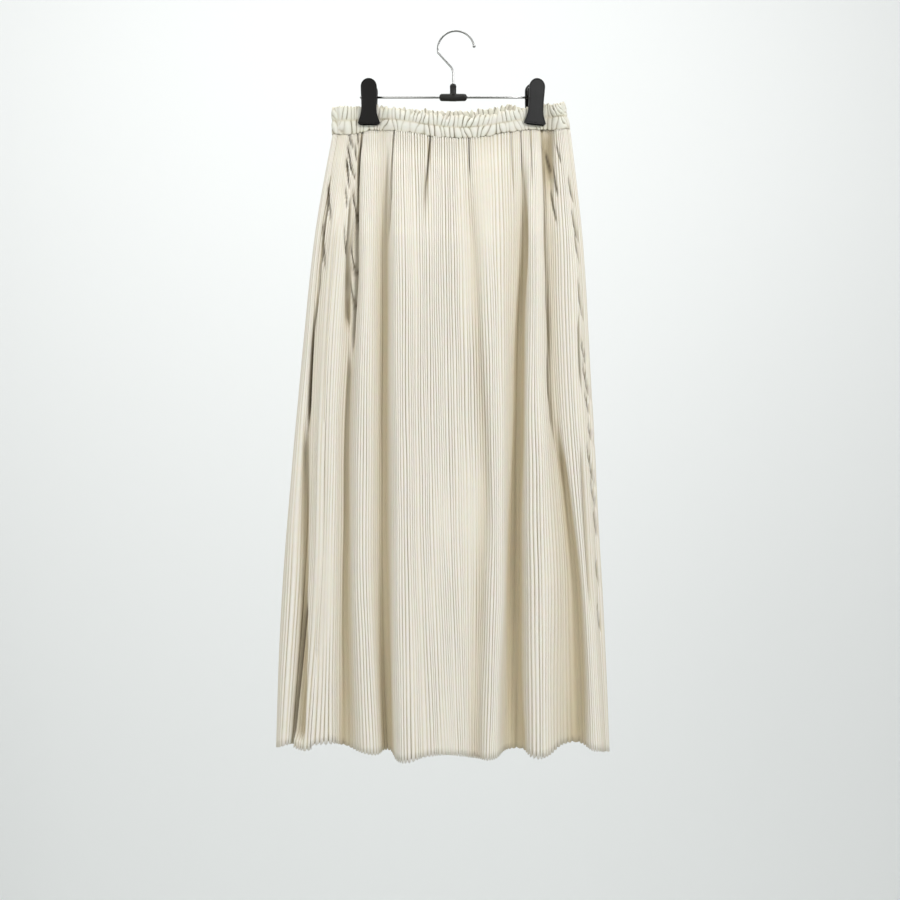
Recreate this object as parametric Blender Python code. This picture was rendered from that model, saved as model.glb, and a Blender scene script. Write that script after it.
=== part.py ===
"""Pleated maxi skirt with a gathered elastic waistband, held by a two-clip hanger.

Sizes are in millimetres. X runs to the right, Y away from the viewer and Z up.
The hook's inner crown is the origin.
"""

import math
from collections import namedtuple

import bmesh
import bpy
import numpy as np
from mathutils import Matrix, Vector

MM = 0.001
GAP = 0.3

# Cloth
PANEL_WALL = 1.7
BAND_WALL = 2.2
FRONT_PLEATS = 70
BACK_PLEATS = 70
GATHERS = 30
PLEAT_RISE = 0.22
TIGHTEST_OFFSET = 0.5
FLATTEST_PLEAT = 0.2
SAMPLES_PER_FOLD = 24

# Where a ring of each panel lies, from 0 at the waist seam to 1 at the hem
RING_LEVELS = (0.0, 0.05, 0.16, 0.32, 0.5, 0.69, 0.86, 1.0)
FOLD_LEVELS = (0.0, 0.17, 0.43, 0.69, 1.0)

# How far the folds have opened at a level, as a share of their lift at the hem
OPENING_LEVELS = (0.0, 0.05, 0.17, 0.43, 0.69, 1.0)
OPENING_SHARES = (0.0, 0.36, 0.64, 0.78, 0.87, 1.0)
SETTLING_LEVELS = (0.0, 0.05, 0.17, 1.0)
SETTLING_SHARES = (0.0, 0.55, 1.0, 1.0)

# One row for each crease or ridge, round the skirt from the left side seam.
# waist to hem: x at the five fold levels. top_y: y at the waist seam.
# trough_y: y of a closed fold. lift: what the fold adds to it at the hem. hem_z: z of the hem.
Fold = namedtuple("Fold", "name waist hip thigh knee hem top_y trough_y lift hem_z")

FRONT_FOLDS = (
    Fold("side_seam_left", -163, -187, -202, -207, -227, -5.5, -10, -1, -981),
    Fold("left_fan_in", -157, -178, -192, -198, -217, -7, -11, -8, -985),
    Fold("left_fan_out", -151.5, -168, -183, -188, -203, -8, -11, -15, -988),
    Fold("left_step", -149, -163, -177, -182, -197, -7, -11, -6, -980),
    Fold("left_panel_in", -144, -155, -169, -174, -182, -5, -11, -20, -975),
    Fold("left_panel_out", -140, -149, -161, -166, -168, -3, -11, -17, -974),
    Fold("left_trough_in", -135, -143, -154, -158, -158, -2.3, -11, -1, -981),
    Fold("left_trough_out", -130, -136, -144, -147, -144, -2.2, -11, -2, -986),
    Fold("inner_panel_in", -124, -127, -132, -135, -126, -2.2, -11, -22, -988),
    Fold("inner_panel_out", -113, -114, -116, -116, -104, -2.2, -11, -23, -991),
    Fold("inner_trough_in", -103, -104, -107, -107, -100, -1.6, -11, -1, -988),
    Fold("inner_trough_out", -95, -95, -93, -93, -87, -5, -11, 0, -988),
    Fold("centre_ridge_in", -87, -86, -84, -83, -80, -8, -11, -31, -998),
    Fold("centre_ridge_out", -74, -71, -69, -66, -61, -9, -11, -31, -997),
    Fold("centre_left", -61, -56, -54, -50, -42, -9, -11, -26, -990),
    Fold("centre", -39, -38, -35, -30, -18, -9, -11, -25, -989),
    Fold("centre_right", -8, -6, -2, 3, 12, -9, -11, -24, -990),
    Fold("shallow_trough", 19, 26, 31, 33, 27, -9, -11, -14, -997),
    Fold("right_panel_in", 33, 38, 46, 49, 39, -9, -11, -25, -996),
    Fold("right_panel_out", 52, 56, 61, 61, 56, -9, -11, -26, -995),
    Fold("deep_trough_in", 80, 81, 75, 71, 63, -8.5, -11, 0, -987),
    Fold("deep_trough_out", 92.6, 93, 89, 88, 86, -5.8, -11, 0, -987),
    Fold("outer_panel_in", 101.6, 101, 98, 99, 105, -3.7, -11, -25, -993),
    Fold("outer_panel_out", 112.6, 114, 115, 123, 123, -1.4, -11, -25, -995),
    Fold("outer_trough_in", 120.6, 123, 128, 143, 144, 0.4, -11, -1, -977),
    Fold("outer_trough_out", 127.6, 130, 137, 159, 174, 1.9, -11, -1, -981),
    Fold("right_edge_panel_in", 137.5, 146, 152, 170, 183, -5.4, -11, -14, -986),
    Fold("right_edge_panel_out", 147.5, 159, 169, 182, 196, -8, -11, -10, -988),
    Fold("side_seam_right", 153.5, 169, 181, 192, 206, -5, -8, -1, -992),
)
BACK_FOLDS = (
    Fold("right_edge_front", 157, 174.5, 187.5, 199, 212, -2, -4, 0, -993),
    Fold("right_edge_back", 156, 174.5, 187.5, 199, 211, 5, 6, 0, -991),
    Fold("back_right_turn", 150, 165, 179, 189, 200, 9, 12, 5, -985),
    Fold("back_right_panel", 142, 150, 161, 171, 182, 9, 12, 17, -984),
    Fold("back_right_dip", 130.5, 138, 146, 154, 163, 7, 12, 9, -985),
    Fold("back_right_ridge", 120.6, 128, 133, 139, 145, 4.8, 12, 18, -984),
    Fold("back_right_trough_out", 111.6, 118, 121, 126, 131, 3, 12, 0, -979),
    Fold("back_right_trough_in", 102.6, 108, 110, 113, 116, 1, 12, 0, -979),
    Fold("back_right_inner_out", 93.0, 98, 99, 100, 102, -2.25, 12, 21, -983),
    Fold("back_right_inner_in", 78, 82, 83, 83, 82, 1.9, 12, 25, -985),
    Fold("back_inner_trough_out", 69, 73, 73, 72, 69, 8, 12, 1, -978),
    Fold("back_inner_trough_in", 62, 62, 61, 60, 56, 9, 12, 0, -978),
    Fold("back_centre_out", 51, 51, 49, 46, 42, 9, 12, 20, -982),
    Fold("back_centre_mid", 33, 32, 30, 28, 25, 9, 12, 22, -983),
    Fold("back_centre_dip_out", 14, 13, 12, 10, 8, 9, 12, 8, -980),
    Fold("back_centre_dip_in", 1, 0, -2, -4, -7, 9, 12, 7, -980),
    Fold("back_centre_left_out", -17, -18, -20, -23, -28, 9, 12, 23, -984),
    Fold("back_centre_left_in", -41, -43, -46, -50, -55, 9, 12, 25, -984),
    Fold("back_left_trough_in", -54, -56, -60, -64, -70, 9, 12, 0, -978),
    Fold("back_left_trough_out", -65, -68, -72, -77, -84, 9, 12, 1, -978),
    Fold("back_left_inner_in", -77, -80, -85, -91, -99, 9, 12, 22, -982),
    Fold("back_left_inner_out", -94, -98, -105, -112, -121, 5, 12, 18, -983),
    Fold("back_left_dip_in", -104, -110, -118, -126, -136, 1.4, 12, 4, -980),
    Fold("back_left_dip_out", -114, -121, -131, -140, -151, 2.2, 12, 5, -981),
    Fold("back_left_panel_in", -125, -134, -147, -157, -169, 2.2, 12, 15, -984),
    Fold("back_left_panel_out", -136, -148, -165, -179, -192, 1.5, 12, 17, -985),
    Fold("back_left_turn", -151, -167, -187, -202, -217, 5.3, 12, 6, -985),
    Fold("left_edge_back", -164, -184, -206, -224, -239, 6, 9, 0, -987),
    Fold("left_edge_side", -170, -194, -217, -237, -249, 1, 2, 0, -987),
    Fold("left_edge_front", -170, -194, -217, -236, -248, -2.4, -6, -1, -987),
    Fold("left_strip_out", -168.5, -190, -211, -226, -240, -4.4, -10, -6, -984),
    Fold("left_strip_in", -166, -187, -205, -215, -232, -5.2, -11, -6, -980),
)
FOLDS = FRONT_FOLDS + BACK_FOLDS
LEFT_SEAM = 0
RIGHT_SEAM = len(FRONT_FOLDS) - 1

# z of the waist seam and of the band's top edge, along x
WaistLine = namedtuple("WaistLine", "x front_seam front_top back_seam back_top")
WAIST_LINES = (
    WaistLine(-176, -142, -106.5, -142, -106.5),
    WaistLine(-150, -143, -106.2, -141, -105.5),
    WaistLine(-120, -137, -104.6, -136, -104),
    WaistLine(-85, -138.1, -109, -137, -104.5),
    WaistLine(-40, -145, -116.2, -138, -106),
    WaistLine(0, -149.1, -120.3, -140, -108),
    WaistLine(40, -146.4, -118.4, -137, -105.3),
    WaistLine(74, -140.6, -112.4, -133.5, -101.4),
    WaistLine(112, -135.3, -105.3, -133, -101),
    WaistLine(132, -136.1, -102.5, -134.5, -100.5),
    WaistLine(162, -134.8, -99.5, -134.8, -99.5),
)

# The band's section, from the seam up: share of its height, how far it swells, how deep its gathers are
BandRing = namedtuple("BandRing", "share swell gather slant")
BAND_RINGS = (
    BandRing(0.0, -0.3, 0.45, 0.0),
    BandRing(0.25, 0.8, 1.1, 0.12),
    BandRing(0.52, -0.4, 0.3, 0.05),
    BandRing(0.78, 0.6, 1.0, -0.14),
    BandRing(1.0, -0.1, 0.8, 0.1),
)
# The band's right end leans in towards its top
BAND_LEAN = 8.0
BAND_LEAN_FROM = 128.0
BAND_LEAN_TO = 157.0

# Hanger
WIRE = 2.6
HOOK_RADIUS = 25.2
HOOK_TIP_ANGLE = 13
HOOK_LOWER_ANGLE = 192
HOOK_BALL = 4.2
STEM_X = -4.0
STEM_TOP_Z = -56.0
STEM_FOOT_Z = -84.0
BAR = 3.0
BAR_Z = -90.6
BAR_LEFT = -132.8
BAR_RIGHT = 120.0
TEE_LENGTH = 38.0
TEE_THICK = 9.8
TEE_STEM = 8.7
TEE_STEM_TOP = -72.2

CLIP_TOP_Z = -68.0
CLIP_HEIGHT = 61.5
CLIP_PLATE = 3.5
CLIP_JAW_IN = 4.8
CLIP_LEAN_DEGREES = 4.6
CLIP_BOSS_WIDTH = 9.0
CLIP_BOSS_HEIGHT = 7.0
SPRING_STRIP = 0.9
SPRING_WIDTH = 19.0
SPRING_BEND = 5.2
Clip = namedtuple("Clip", "name x turn_degrees tilt_degrees")
CLIPS = (Clip("left", -119.8, 0.0, 0.0), Clip("right", 108.6, 12.0, 2.4))
SQUEEZE = 0.7
SQUEEZE_REACH = 16.0
SQUEEZE_LEVEL = 0.1

# A jaw's outline from its top: drop and half width
ClipEdge = namedtuple("ClipEdge", "drop half_width")
CLIP_EDGES = (
    ClipEdge(11.0, 11.0),
    ClipEdge(24.0, 10.7),
    ClipEdge(38.0, 10.3),
    ClipEdge(46.0, 10.9),
    ClipEdge(52.0, 12.5),
    ClipEdge(57.0, 14.3),
    ClipEdge(59.5, 14.9),
    ClipEdge(61.5, 14.0),
)


def clear_scene():
    for thing in list(bpy.data.objects):
        bpy.data.objects.remove(thing, do_unlink=True)


def new_material(name, colour, roughness, metallic=0.0):
    material = bpy.data.materials.new(name)
    material.use_nodes = True
    shader = material.node_tree.nodes["Principled BSDF"]
    shader.inputs["Base Color"].default_value = (*colour, 1.0)
    shader.inputs["Roughness"].default_value = roughness
    shader.inputs["Metallic"].default_value = metallic
    material.diffuse_color = (*colour, 1.0)
    return material


def new_object(name, mesh, material):
    mesh.materials.clear()
    mesh.materials.append(material)
    thing = bpy.data.objects.new(name, mesh)
    bpy.context.scene.collection.objects.link(thing)
    return thing


def through(stations, values, at):
    """A smooth curve through values at the stations, along their first axis."""
    stations = np.asarray(stations, float)
    values = np.asarray(values, float)
    slopes = np.gradient(values, stations, axis=0)
    at = np.clip(at, stations[0], stations[-1])
    left = np.clip(np.searchsorted(stations, at, side="right") - 1, 0, len(stations) - 2)
    width = stations[left + 1] - stations[left]
    f = (at - stations[left]) / width
    start = (1 + 2 * f) * (1 - f) ** 2 * values[left] + f * (1 - f) ** 2 * width * slopes[left]
    end = f**2 * (3 - 2 * f) * values[left + 1] - f**2 * (1 - f) * width * slopes[left + 1]
    return start + end


def round_loop(values, t):
    """A closed, smooth curve round the fold rows, at places t counted in rows."""
    values = np.asarray(values, float)
    row = np.floor(t).astype(int)
    f = t - row
    weights = ((1 - f) ** 3, 3 * f**3 - 6 * f**2 + 4, -3 * f**3 + 3 * f**2 + 3 * f + 1, f**3)
    return sum(w * values[(row + shift) % len(values)] for shift, w in zip((-1, 0, 1, 2), weights)) / 6


def fold_column(*names):
    return np.array([[getattr(fold, name) for fold in FOLDS] for name in names], float)


def outline_at(level, t):
    """x and y of the cloth's middle line at a level, at places t along the fold rows."""
    x = through(FOLD_LEVELS, fold_column("waist", "hip", "thigh", "knee", "hem"), level)
    top_y, trough_y, lift = fold_column("top_y", "trough_y", "lift")
    opened = through(OPENING_LEVELS, OPENING_SHARES, level)
    settled = np.interp(level, SETTLING_LEVELS, SETTLING_SHARES)
    y = top_y * (1 - settled) + (trough_y + lift * opened) * settled
    return round_loop(x, t), round_loop(y, t)


def waist_height(t, edge):
    """z of the waist seam or of the band's top edge, front and back blended round the ends."""
    x, y = outline_at(0.0, t)
    stations = [line.x for line in WAIST_LINES]
    front = through(stations, [getattr(line, "front_" + edge) for line in WAIST_LINES], x)
    back = through(stations, [getattr(line, "back_" + edge) for line in WAIST_LINES], x)
    behind = np.clip(y / 4 + 0.5, 0, 1)
    return front * (1 - behind) + back * behind


def spaced(first, last, levels, count):
    """Places along the fold rows that share the cloth out evenly, as the mean over some levels."""
    t = np.linspace(first, last, (last - first) * SAMPLES_PER_FOLD + 1)
    share = np.zeros(len(t))
    for level in levels:
        x, y = outline_at(level, t)
        steps = np.hypot(np.diff(x), np.diff(y))
        share[1:] += np.cumsum(steps) / steps.sum() / len(levels)
    return np.interp(np.linspace(0, 1, count), share, t)


def squeeze(x, level):
    """How much of a pleat's depth is left where a clip presses the cloth."""
    pressed = sum(np.exp(-(((x - clip.x) / SQUEEZE_REACH) ** 2)) for clip in CLIPS)
    return 1 - SQUEEZE * pressed * max(0.0, 1 - level / SQUEEZE_LEVEL)


def middle_line(level, t):
    """Points, outward directions and the distance between neighbours, with the ends set back from the seams."""
    points = np.stack(outline_at(level, t), axis=1)
    near = np.stack(outline_at(level, t + 0.02), axis=1) - np.stack(outline_at(level, t - 0.02), axis=1)
    along = near / np.linalg.norm(near, axis=1, keepdims=True)
    points[0] += along[0] * GAP / 2
    points[-1] -= along[-1] * GAP / 2
    outward = np.stack((along[:, 1], -along[:, 0]), axis=1)
    return points, outward


def tightest_rise(points, wall):
    """The deepest pleat that a bend of the middle line has room for."""
    steps = np.diff(points, axis=0)
    angles = np.unwrap(np.arctan2(steps[:, 1], steps[:, 0]))
    turn = np.abs(np.diff(angles))
    reach = np.linalg.norm(steps, axis=1)
    radius = np.full(len(points), 1000.0)
    radius[1:-1] = (reach[1:] + reach[:-1]) / 2 / np.maximum(turn, 0.001)
    return np.maximum(TIGHTEST_OFFSET * radius - wall / 2, FLATTEST_PLEAT)


def ring_points(points, outward, rise, wall, z):
    outer = points + outward * (rise + wall / 2)[:, None]
    inner = points + outward * (rise - wall / 2)[:, None]
    return [np.column_stack((side, z)) for side in (outer, inner)]


def wall_mesh(name, rings):
    """A closed cloth wall from rings of outer and inner points, top ring first."""
    outer = np.array([ring[0] for ring in rings])
    inner = np.array([ring[1] for ring in rings])
    rows, columns = outer.shape[:2]
    count = rows * columns

    def out(r, k):
        return r * columns + k

    def inn(r, k):
        return count + out(r, k)

    faces = []
    for r in range(rows - 1):
        for k in range(columns - 1):
            faces.append((out(r, k), out(r + 1, k), out(r + 1, k + 1), out(r, k + 1)))
            faces.append((inn(r, k), inn(r, k + 1), inn(r + 1, k + 1), inn(r + 1, k)))
        faces.append((out(r, 0), inn(r, 0), inn(r + 1, 0), out(r + 1, 0)))
        end = columns - 1
        faces.append((out(r, end), out(r + 1, end), inn(r + 1, end), inn(r, end)))
    last = rows - 1
    for k in range(columns - 1):
        faces.append((out(0, k), out(0, k + 1), inn(0, k + 1), inn(0, k)))
        faces.append((out(last, k + 1), out(last, k), inn(last, k), inn(last, k + 1)))
    points = np.concatenate((outer.reshape(-1, 3), inner.reshape(-1, 3))) * MM
    mesh = bpy.data.meshes.new(name)
    mesh.from_pydata(points.tolist(), [], faces)
    return mesh


def panel(name, first, last, pleats, material):
    """A pleated width of cloth between two side seams, from the waist seam to the hem."""
    t = spaced(first, last, FOLD_LEVELS[1:], 2 * pleats + 1)
    seam_z = waist_height(t, "seam") - GAP
    hem_z = round_loop(fold_column("hem_z")[0], t)
    side = np.where(np.arange(len(t)) % 2, 1.0, -1.0)
    side[0] = 0.0
    side[-1] = 0.0
    rings = []
    for level in RING_LEVELS:
        points, outward = middle_line(level, t)
        pitch = np.full(len(t), 0.0)
        pitch[1:-1] = np.linalg.norm(points[2:] - points[:-2], axis=1)
        rise = PLEAT_RISE * np.minimum(pitch, pitch[1:-1].mean()) * squeeze(points[:, 0], level)
        rise = np.minimum(rise, tightest_rise(points, PANEL_WALL))
        z = seam_z + (hem_z - seam_z) * level
        rings.append(ring_points(points, outward, side * rise, PANEL_WALL, z))
    return new_object(name, wall_mesh(name, rings), material)


def end_lean(x, share):
    """How far the band's right end leans in at a share of its height."""
    return BAND_LEAN * share * np.clip((x - BAND_LEAN_FROM) / (BAND_LEAN_TO - BAND_LEAN_FROM), 0, 1)


def band(name, first, last, material):
    """Half of the gathered waistband, whose two tiers swell above and below a stitch line."""
    even = spaced(first, last, FOLD_LEVELS[:1], 2 * GATHERS + 1)
    side = np.where(np.arange(len(even)) % 2, 1.0, -1.0)
    side[0] = 0.0
    side[-1] = 0.0
    rings = []
    for ring in reversed(BAND_RINGS):
        lean = ring.slant * np.sin(np.arange(len(even)) * 1.7)
        lean[0] = 0.0
        lean[-1] = 0.0
        t = even + lean * np.gradient(even) * 2
        points, outward = middle_line(0.0, t)
        kept = squeeze(points[:, 0], 0.0)
        rise = np.minimum(ring.gather * kept, tightest_rise(points, BAND_WALL))
        seam_z = waist_height(t, "seam")
        z = seam_z + (waist_height(t, "top") - seam_z) * ring.share
        walls = ring_points(points, outward, side * rise + ring.swell * kept, BAND_WALL, z)
        for wall in walls:
            wall[:, 0] -= end_lean(wall[:, 0], ring.share)
        rings.append(walls)
    return new_object(name, wall_mesh(name, rings), material)


def tube(name, centre_line, radii, material):
    """A round wire along a line of points, with filled ends."""
    curve = bpy.data.curves.new(name, "CURVE")
    curve.dimensions = "3D"
    curve.bevel_depth = MM
    curve.bevel_resolution = 2
    curve.use_fill_caps = True
    spline = curve.splines.new("POLY")
    spline.points.add(len(centre_line) - 1)
    for point, place, radius in zip(spline.points, centre_line, radii):
        point.co = (*(Vector(place) * MM), 1.0)
        point.radius = radius
    curve.materials.append(material)
    thing = bpy.data.objects.new(name, curve)
    bpy.context.scene.collection.objects.link(thing)
    return thing


def hook_line():
    """The hook's centre line and wire radii, from its foot in the T-piece round to its ball tip."""
    centre_z = WIRE / 2 - HOOK_RADIUS

    def on_arc(degrees):
        angle = math.radians(degrees)
        return Vector((HOOK_RADIUS * math.cos(angle), 0, centre_z + HOOK_RADIUS * math.sin(angle)))

    steps = 20
    span = HOOK_LOWER_ANGLE - HOOK_TIP_ANGLE
    arc = [on_arc(HOOK_LOWER_ANGLE - span * k / steps) for k in range(steps + 1)]
    shoulder = Vector((STEM_X - 2.5, 0, STEM_TOP_Z + 7))
    neck = Vector((STEM_X, 0, STEM_TOP_Z))
    foot = Vector((STEM_X, 0, STEM_FOOT_Z))
    middle = shoulder.lerp(neck, 0.5) + Vector((0.4, 0, 0))
    stem = [foot, neck, middle, shoulder, arc[0].lerp(shoulder, 0.6), arc[0].lerp(shoulder, 0.3)]
    places = stem + arc
    radii = [WIRE / 2] * len(places)
    ball_steps = 6
    start = math.asin(WIRE / HOOK_BALL)
    ahead = (arc[-1] - arc[-2]).normalized()
    for k in range(1, ball_steps + 1):
        angle = start + (math.radians(170) - start) * k / ball_steps
        places.append(arc[-1] + ahead * HOOK_BALL / 2 * (math.cos(start) - math.cos(angle)))
        radii.append(HOOK_BALL / 2 * math.sin(angle))
    return places, radii


def join_solids(target, others, operation):
    """Joins others to the target, or cuts them from it, and removes them."""
    for other in others:
        modifier = target.modifiers.new(operation.lower(), "BOOLEAN")
        modifier.operation = operation
        modifier.solver = "EXACT"
        modifier.object = other
    graph = bpy.context.evaluated_depsgraph_get()
    mesh = bpy.data.meshes.new_from_object(target.evaluated_get(graph))
    target.modifiers.clear()
    target.data = mesh
    for other in others:
        bpy.data.objects.remove(other, do_unlink=True)
    return target


def rod(name, start, end, thickness, material, sides=16, rounding=0.0):
    """A round rod between two places, with rounded ends where asked."""
    start = Vector(start)
    end = Vector(end)
    bm = bmesh.new()
    length = (end - start).length
    radius = thickness / 2
    bmesh.ops.create_cone(bm, cap_ends=True, segments=sides, radius1=radius, radius2=radius, depth=length)
    if rounding:
        rims = [edge for edge in bm.edges if abs(edge.verts[0].co.z - edge.verts[1].co.z) < 0.001]
        bmesh.ops.bevel(
            bm, geom=rims, offset=rounding, segments=3, profile=0.5, affect="EDGES", clamp_overlap=True
        )
    turn = Vector((0, 0, 1)).rotation_difference(end - start).to_matrix().to_4x4()
    place = Matrix.Translation((start + end) / 2) @ turn
    bmesh.ops.transform(bm, matrix=Matrix.Scale(MM, 4) @ place, verts=bm.verts)
    mesh = bpy.data.meshes.new(name)
    bm.to_mesh(mesh)
    bm.free()
    return new_object(name, mesh, material)


def block(name, centre, size, material):
    bm = bmesh.new()
    bmesh.ops.create_cube(bm, size=1.0)
    place = Matrix.Translation(Vector(centre)) @ Matrix.Diagonal((*size, 1.0))
    bmesh.ops.transform(bm, matrix=Matrix.Scale(MM, 4) @ place, verts=bm.verts)
    mesh = bpy.data.meshes.new(name)
    bm.to_mesh(mesh)
    bm.free()
    return new_object(name, mesh, material)


def tee_piece(plastic):
    """The centre piece: a sleeve round the bar with a socket for the hook's stem."""
    half = TEE_LENGTH / 2
    sleeve = rod(
        "centre_tee", (STEM_X - half, 0, BAR_Z), (STEM_X + half, 0, BAR_Z), TEE_THICK, plastic, rounding=3.5
    )
    stem = rod("stem", (STEM_X, 0, BAR_Z), (STEM_X, 0, TEE_STEM_TOP), TEE_STEM, plastic, rounding=2.0)
    join_solids(sleeve, [stem], "UNION")
    bore = rod(
        "bore", (STEM_X - TEE_LENGTH, 0, BAR_Z), (STEM_X + TEE_LENGTH, 0, BAR_Z), BAR + 2 * GAP, plastic, 12
    )
    socket = rod(
        "socket",
        (STEM_X, 0, STEM_FOOT_Z - GAP),
        (STEM_X, 0, TEE_STEM_TOP + 5),
        WIRE + 2 * GAP,
        plastic,
        12,
    )
    return join_solids(sleeve, [bore, socket], "DIFFERENCE")


def clip_frame(clip):
    """Places a clip's own axes: turned about the vertical at its x, and tilted about the bar."""
    on_bar = Vector((0, 0, BAR_Z * MM))
    turned = Matrix.Rotation(math.radians(clip.turn_degrees), 4, "Z")
    tilted = Matrix.Rotation(math.radians(clip.tilt_degrees), 4, "Y")
    middle = Matrix.Translation((clip.x * MM, 0, 0))
    return middle @ turned @ Matrix.Translation(on_bar) @ tilted @ Matrix.Translation(-on_bar)


def jaw(clip, side, plastic):
    """One plastic jaw, with side -1 in front of the cloth and 1 behind it."""
    name = "clip_{}_{}_jaw".format(clip.name, "front" if side < 0 else "rear")
    top = CLIP_EDGES[0]
    arc_steps = 8
    right = [
        (top.half_width * math.sin(a), top.drop * (1 - math.cos(a)))
        for a in (math.pi / 2 * k / arc_steps for k in range(1, arc_steps))
    ]
    right += [(edge.half_width, edge.drop) for edge in CLIP_EDGES]
    outline = [(0.0, 0.0)] + right + [(-x, drop) for x, drop in reversed(right)]
    bm = bmesh.new()
    lean = math.tan(math.radians(CLIP_LEAN_DEGREES))
    inside = [
        bm.verts.new((x, side * (CLIP_JAW_IN + (CLIP_HEIGHT - drop) * lean), CLIP_TOP_Z - drop))
        for x, drop in outline
    ]
    face = bm.faces.new(inside)
    pushed = bmesh.ops.extrude_face_region(bm, geom=[face])["geom"]
    outside = [item for item in pushed if isinstance(item, bmesh.types.BMVert)]
    bmesh.ops.translate(bm, vec=(0, side * CLIP_PLATE, 0), verts=outside)
    rim = [edge for edge in bm.edges if all(vert in outside for vert in edge.verts)]
    bmesh.ops.bevel(bm, geom=rim, offset=1.0, segments=2, profile=0.5, affect="EDGES", clamp_overlap=True)
    bmesh.ops.recalc_face_normals(bm, faces=bm.faces)
    bmesh.ops.transform(bm, matrix=Matrix.Scale(MM, 4), verts=bm.verts)
    mesh = bpy.data.meshes.new(name)
    bm.to_mesh(mesh)
    bm.free()
    plate = new_object(name, mesh, plastic)
    turned = CLIP_BOSS_WIDTH / 2 * math.sin(math.radians(clip.turn_degrees))
    seat = (BAR / 2 + GAP + turned) / math.cos(math.radians(clip.turn_degrees))
    reach = CLIP_JAW_IN + (BAR_Z - CLIP_TOP_Z + CLIP_HEIGHT) * lean + CLIP_PLATE / 2
    boss = block(
        "boss",
        (0, side * (seat + reach) / 2, BAR_Z),
        (CLIP_BOSS_WIDTH, reach - seat, CLIP_BOSS_HEIGHT),
        plastic,
    )
    join_solids(plate, [boss], "UNION")
    plate.matrix_world = clip_frame(clip)
    return plate


def spring(clip, steel):
    """A flat steel strip bent over between the handles, which presses the jaws shut."""
    name = "clip_{}_spring".format(clip.name)
    foot_z = BAR_Z + CLIP_BOSS_HEIGHT / 2 + GAP
    bend_z = foot_z + 4.0
    bend_steps = 10
    line = [(-SPRING_BEND, foot_z)]
    line += [
        (-SPRING_BEND * math.cos(a), bend_z + SPRING_BEND * math.sin(a))
        for a in (math.pi * k / bend_steps for k in range(bend_steps + 1))
    ]
    line += [(SPRING_BEND, foot_z)]
    inset = (SPRING_BEND - SPRING_STRIP) / SPRING_BEND
    inner = [(y * inset, bend_z + (z - bend_z) * inset if z > bend_z else z) for y, z in line]
    profile = line + list(reversed(inner))
    bm = bmesh.new()
    verts = [bm.verts.new((-SPRING_WIDTH / 2, y, z)) for y, z in profile]
    face = bm.faces.new(verts)
    pushed = bmesh.ops.extrude_face_region(bm, geom=[face])["geom"]
    moved = [item for item in pushed if isinstance(item, bmesh.types.BMVert)]
    bmesh.ops.translate(bm, vec=(SPRING_WIDTH, 0, 0), verts=moved)
    bmesh.ops.recalc_face_normals(bm, faces=bm.faces)
    bmesh.ops.transform(bm, matrix=Matrix.Scale(MM, 4), verts=bm.verts)
    mesh = bpy.data.meshes.new(name)
    bm.to_mesh(mesh)
    bm.free()
    strip = new_object(name, mesh, steel)
    strip.matrix_world = clip_frame(clip)
    return strip


def build_cloth():
    cloth = new_material("cream_cloth", (0.77, 0.72, 0.61), 0.85)
    panel("skirt_front", LEFT_SEAM, RIGHT_SEAM, FRONT_PLEATS, cloth)
    panel("skirt_back", RIGHT_SEAM, len(FOLDS), BACK_PLEATS, cloth.copy())
    band("waistband_front", LEFT_SEAM, RIGHT_SEAM, cloth.copy())
    band("waistband_back", RIGHT_SEAM, len(FOLDS), cloth.copy())


def build_hanger():
    steel = new_material("polished_steel", (0.75, 0.75, 0.76), 0.2, 1.0)
    plastic = new_material("black_plastic", (0.02, 0.02, 0.02), 0.4)
    tube("hook", *hook_line(), steel)
    tee_piece(plastic)
    rod("bar", (BAR_LEFT, 0, BAR_Z), (BAR_RIGHT, 0, BAR_Z), BAR, steel.copy(), 12)
    for clip in CLIPS:
        for side in (-1, 1):
            jaw(clip, side, plastic.copy())
        spring(clip, steel.copy())


clear_scene()
build_cloth()
build_hanger()
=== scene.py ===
import math
from collections import namedtuple

import bmesh
import bpy
import numpy as np
from mathutils import Matrix, Vector


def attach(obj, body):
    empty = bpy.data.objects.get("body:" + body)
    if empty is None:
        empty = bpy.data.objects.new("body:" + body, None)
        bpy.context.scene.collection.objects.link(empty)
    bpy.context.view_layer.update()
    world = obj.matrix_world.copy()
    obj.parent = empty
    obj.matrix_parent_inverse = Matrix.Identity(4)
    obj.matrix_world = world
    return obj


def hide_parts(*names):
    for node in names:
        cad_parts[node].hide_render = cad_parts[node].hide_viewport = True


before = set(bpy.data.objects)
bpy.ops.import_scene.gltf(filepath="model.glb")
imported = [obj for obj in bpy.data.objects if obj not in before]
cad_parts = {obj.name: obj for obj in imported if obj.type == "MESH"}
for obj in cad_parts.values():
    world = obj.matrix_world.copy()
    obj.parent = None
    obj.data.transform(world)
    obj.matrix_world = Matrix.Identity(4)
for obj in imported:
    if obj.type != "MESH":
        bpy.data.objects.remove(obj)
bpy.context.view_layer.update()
scene = bpy.context.scene
print("frame loaded, with", len(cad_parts), "CAD nodes")

mm = 0.001

# The camera stands level with the middle of the skirt, 1.5 m in front of the hanger
camera = {"place": (-0.0083, -1.5, -0.5779), "lens": 43.4, "sensor": 36.0}

cameraData = bpy.data.cameras.new("camera")
cameraData.lens = camera["lens"]
cameraData.sensor_width = camera["sensor"]
cameraObject = bpy.data.objects.new("camera", cameraData)
cameraObject.location = camera["place"]
cameraObject.rotation_euler = (math.radians(90), 0, 0)
scene.collection.objects.link(cameraObject)
scene.camera = cameraObject


def linearColour(hexValue):
    channels = [int(hexValue[k : k + 2], 16) / 255 for k in (0, 2, 4)]
    return tuple(c / 12.92 if c <= 0.04045 else ((c + 0.055) / 1.055) ** 2.4 for c in channels) + (1.0,)


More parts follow.
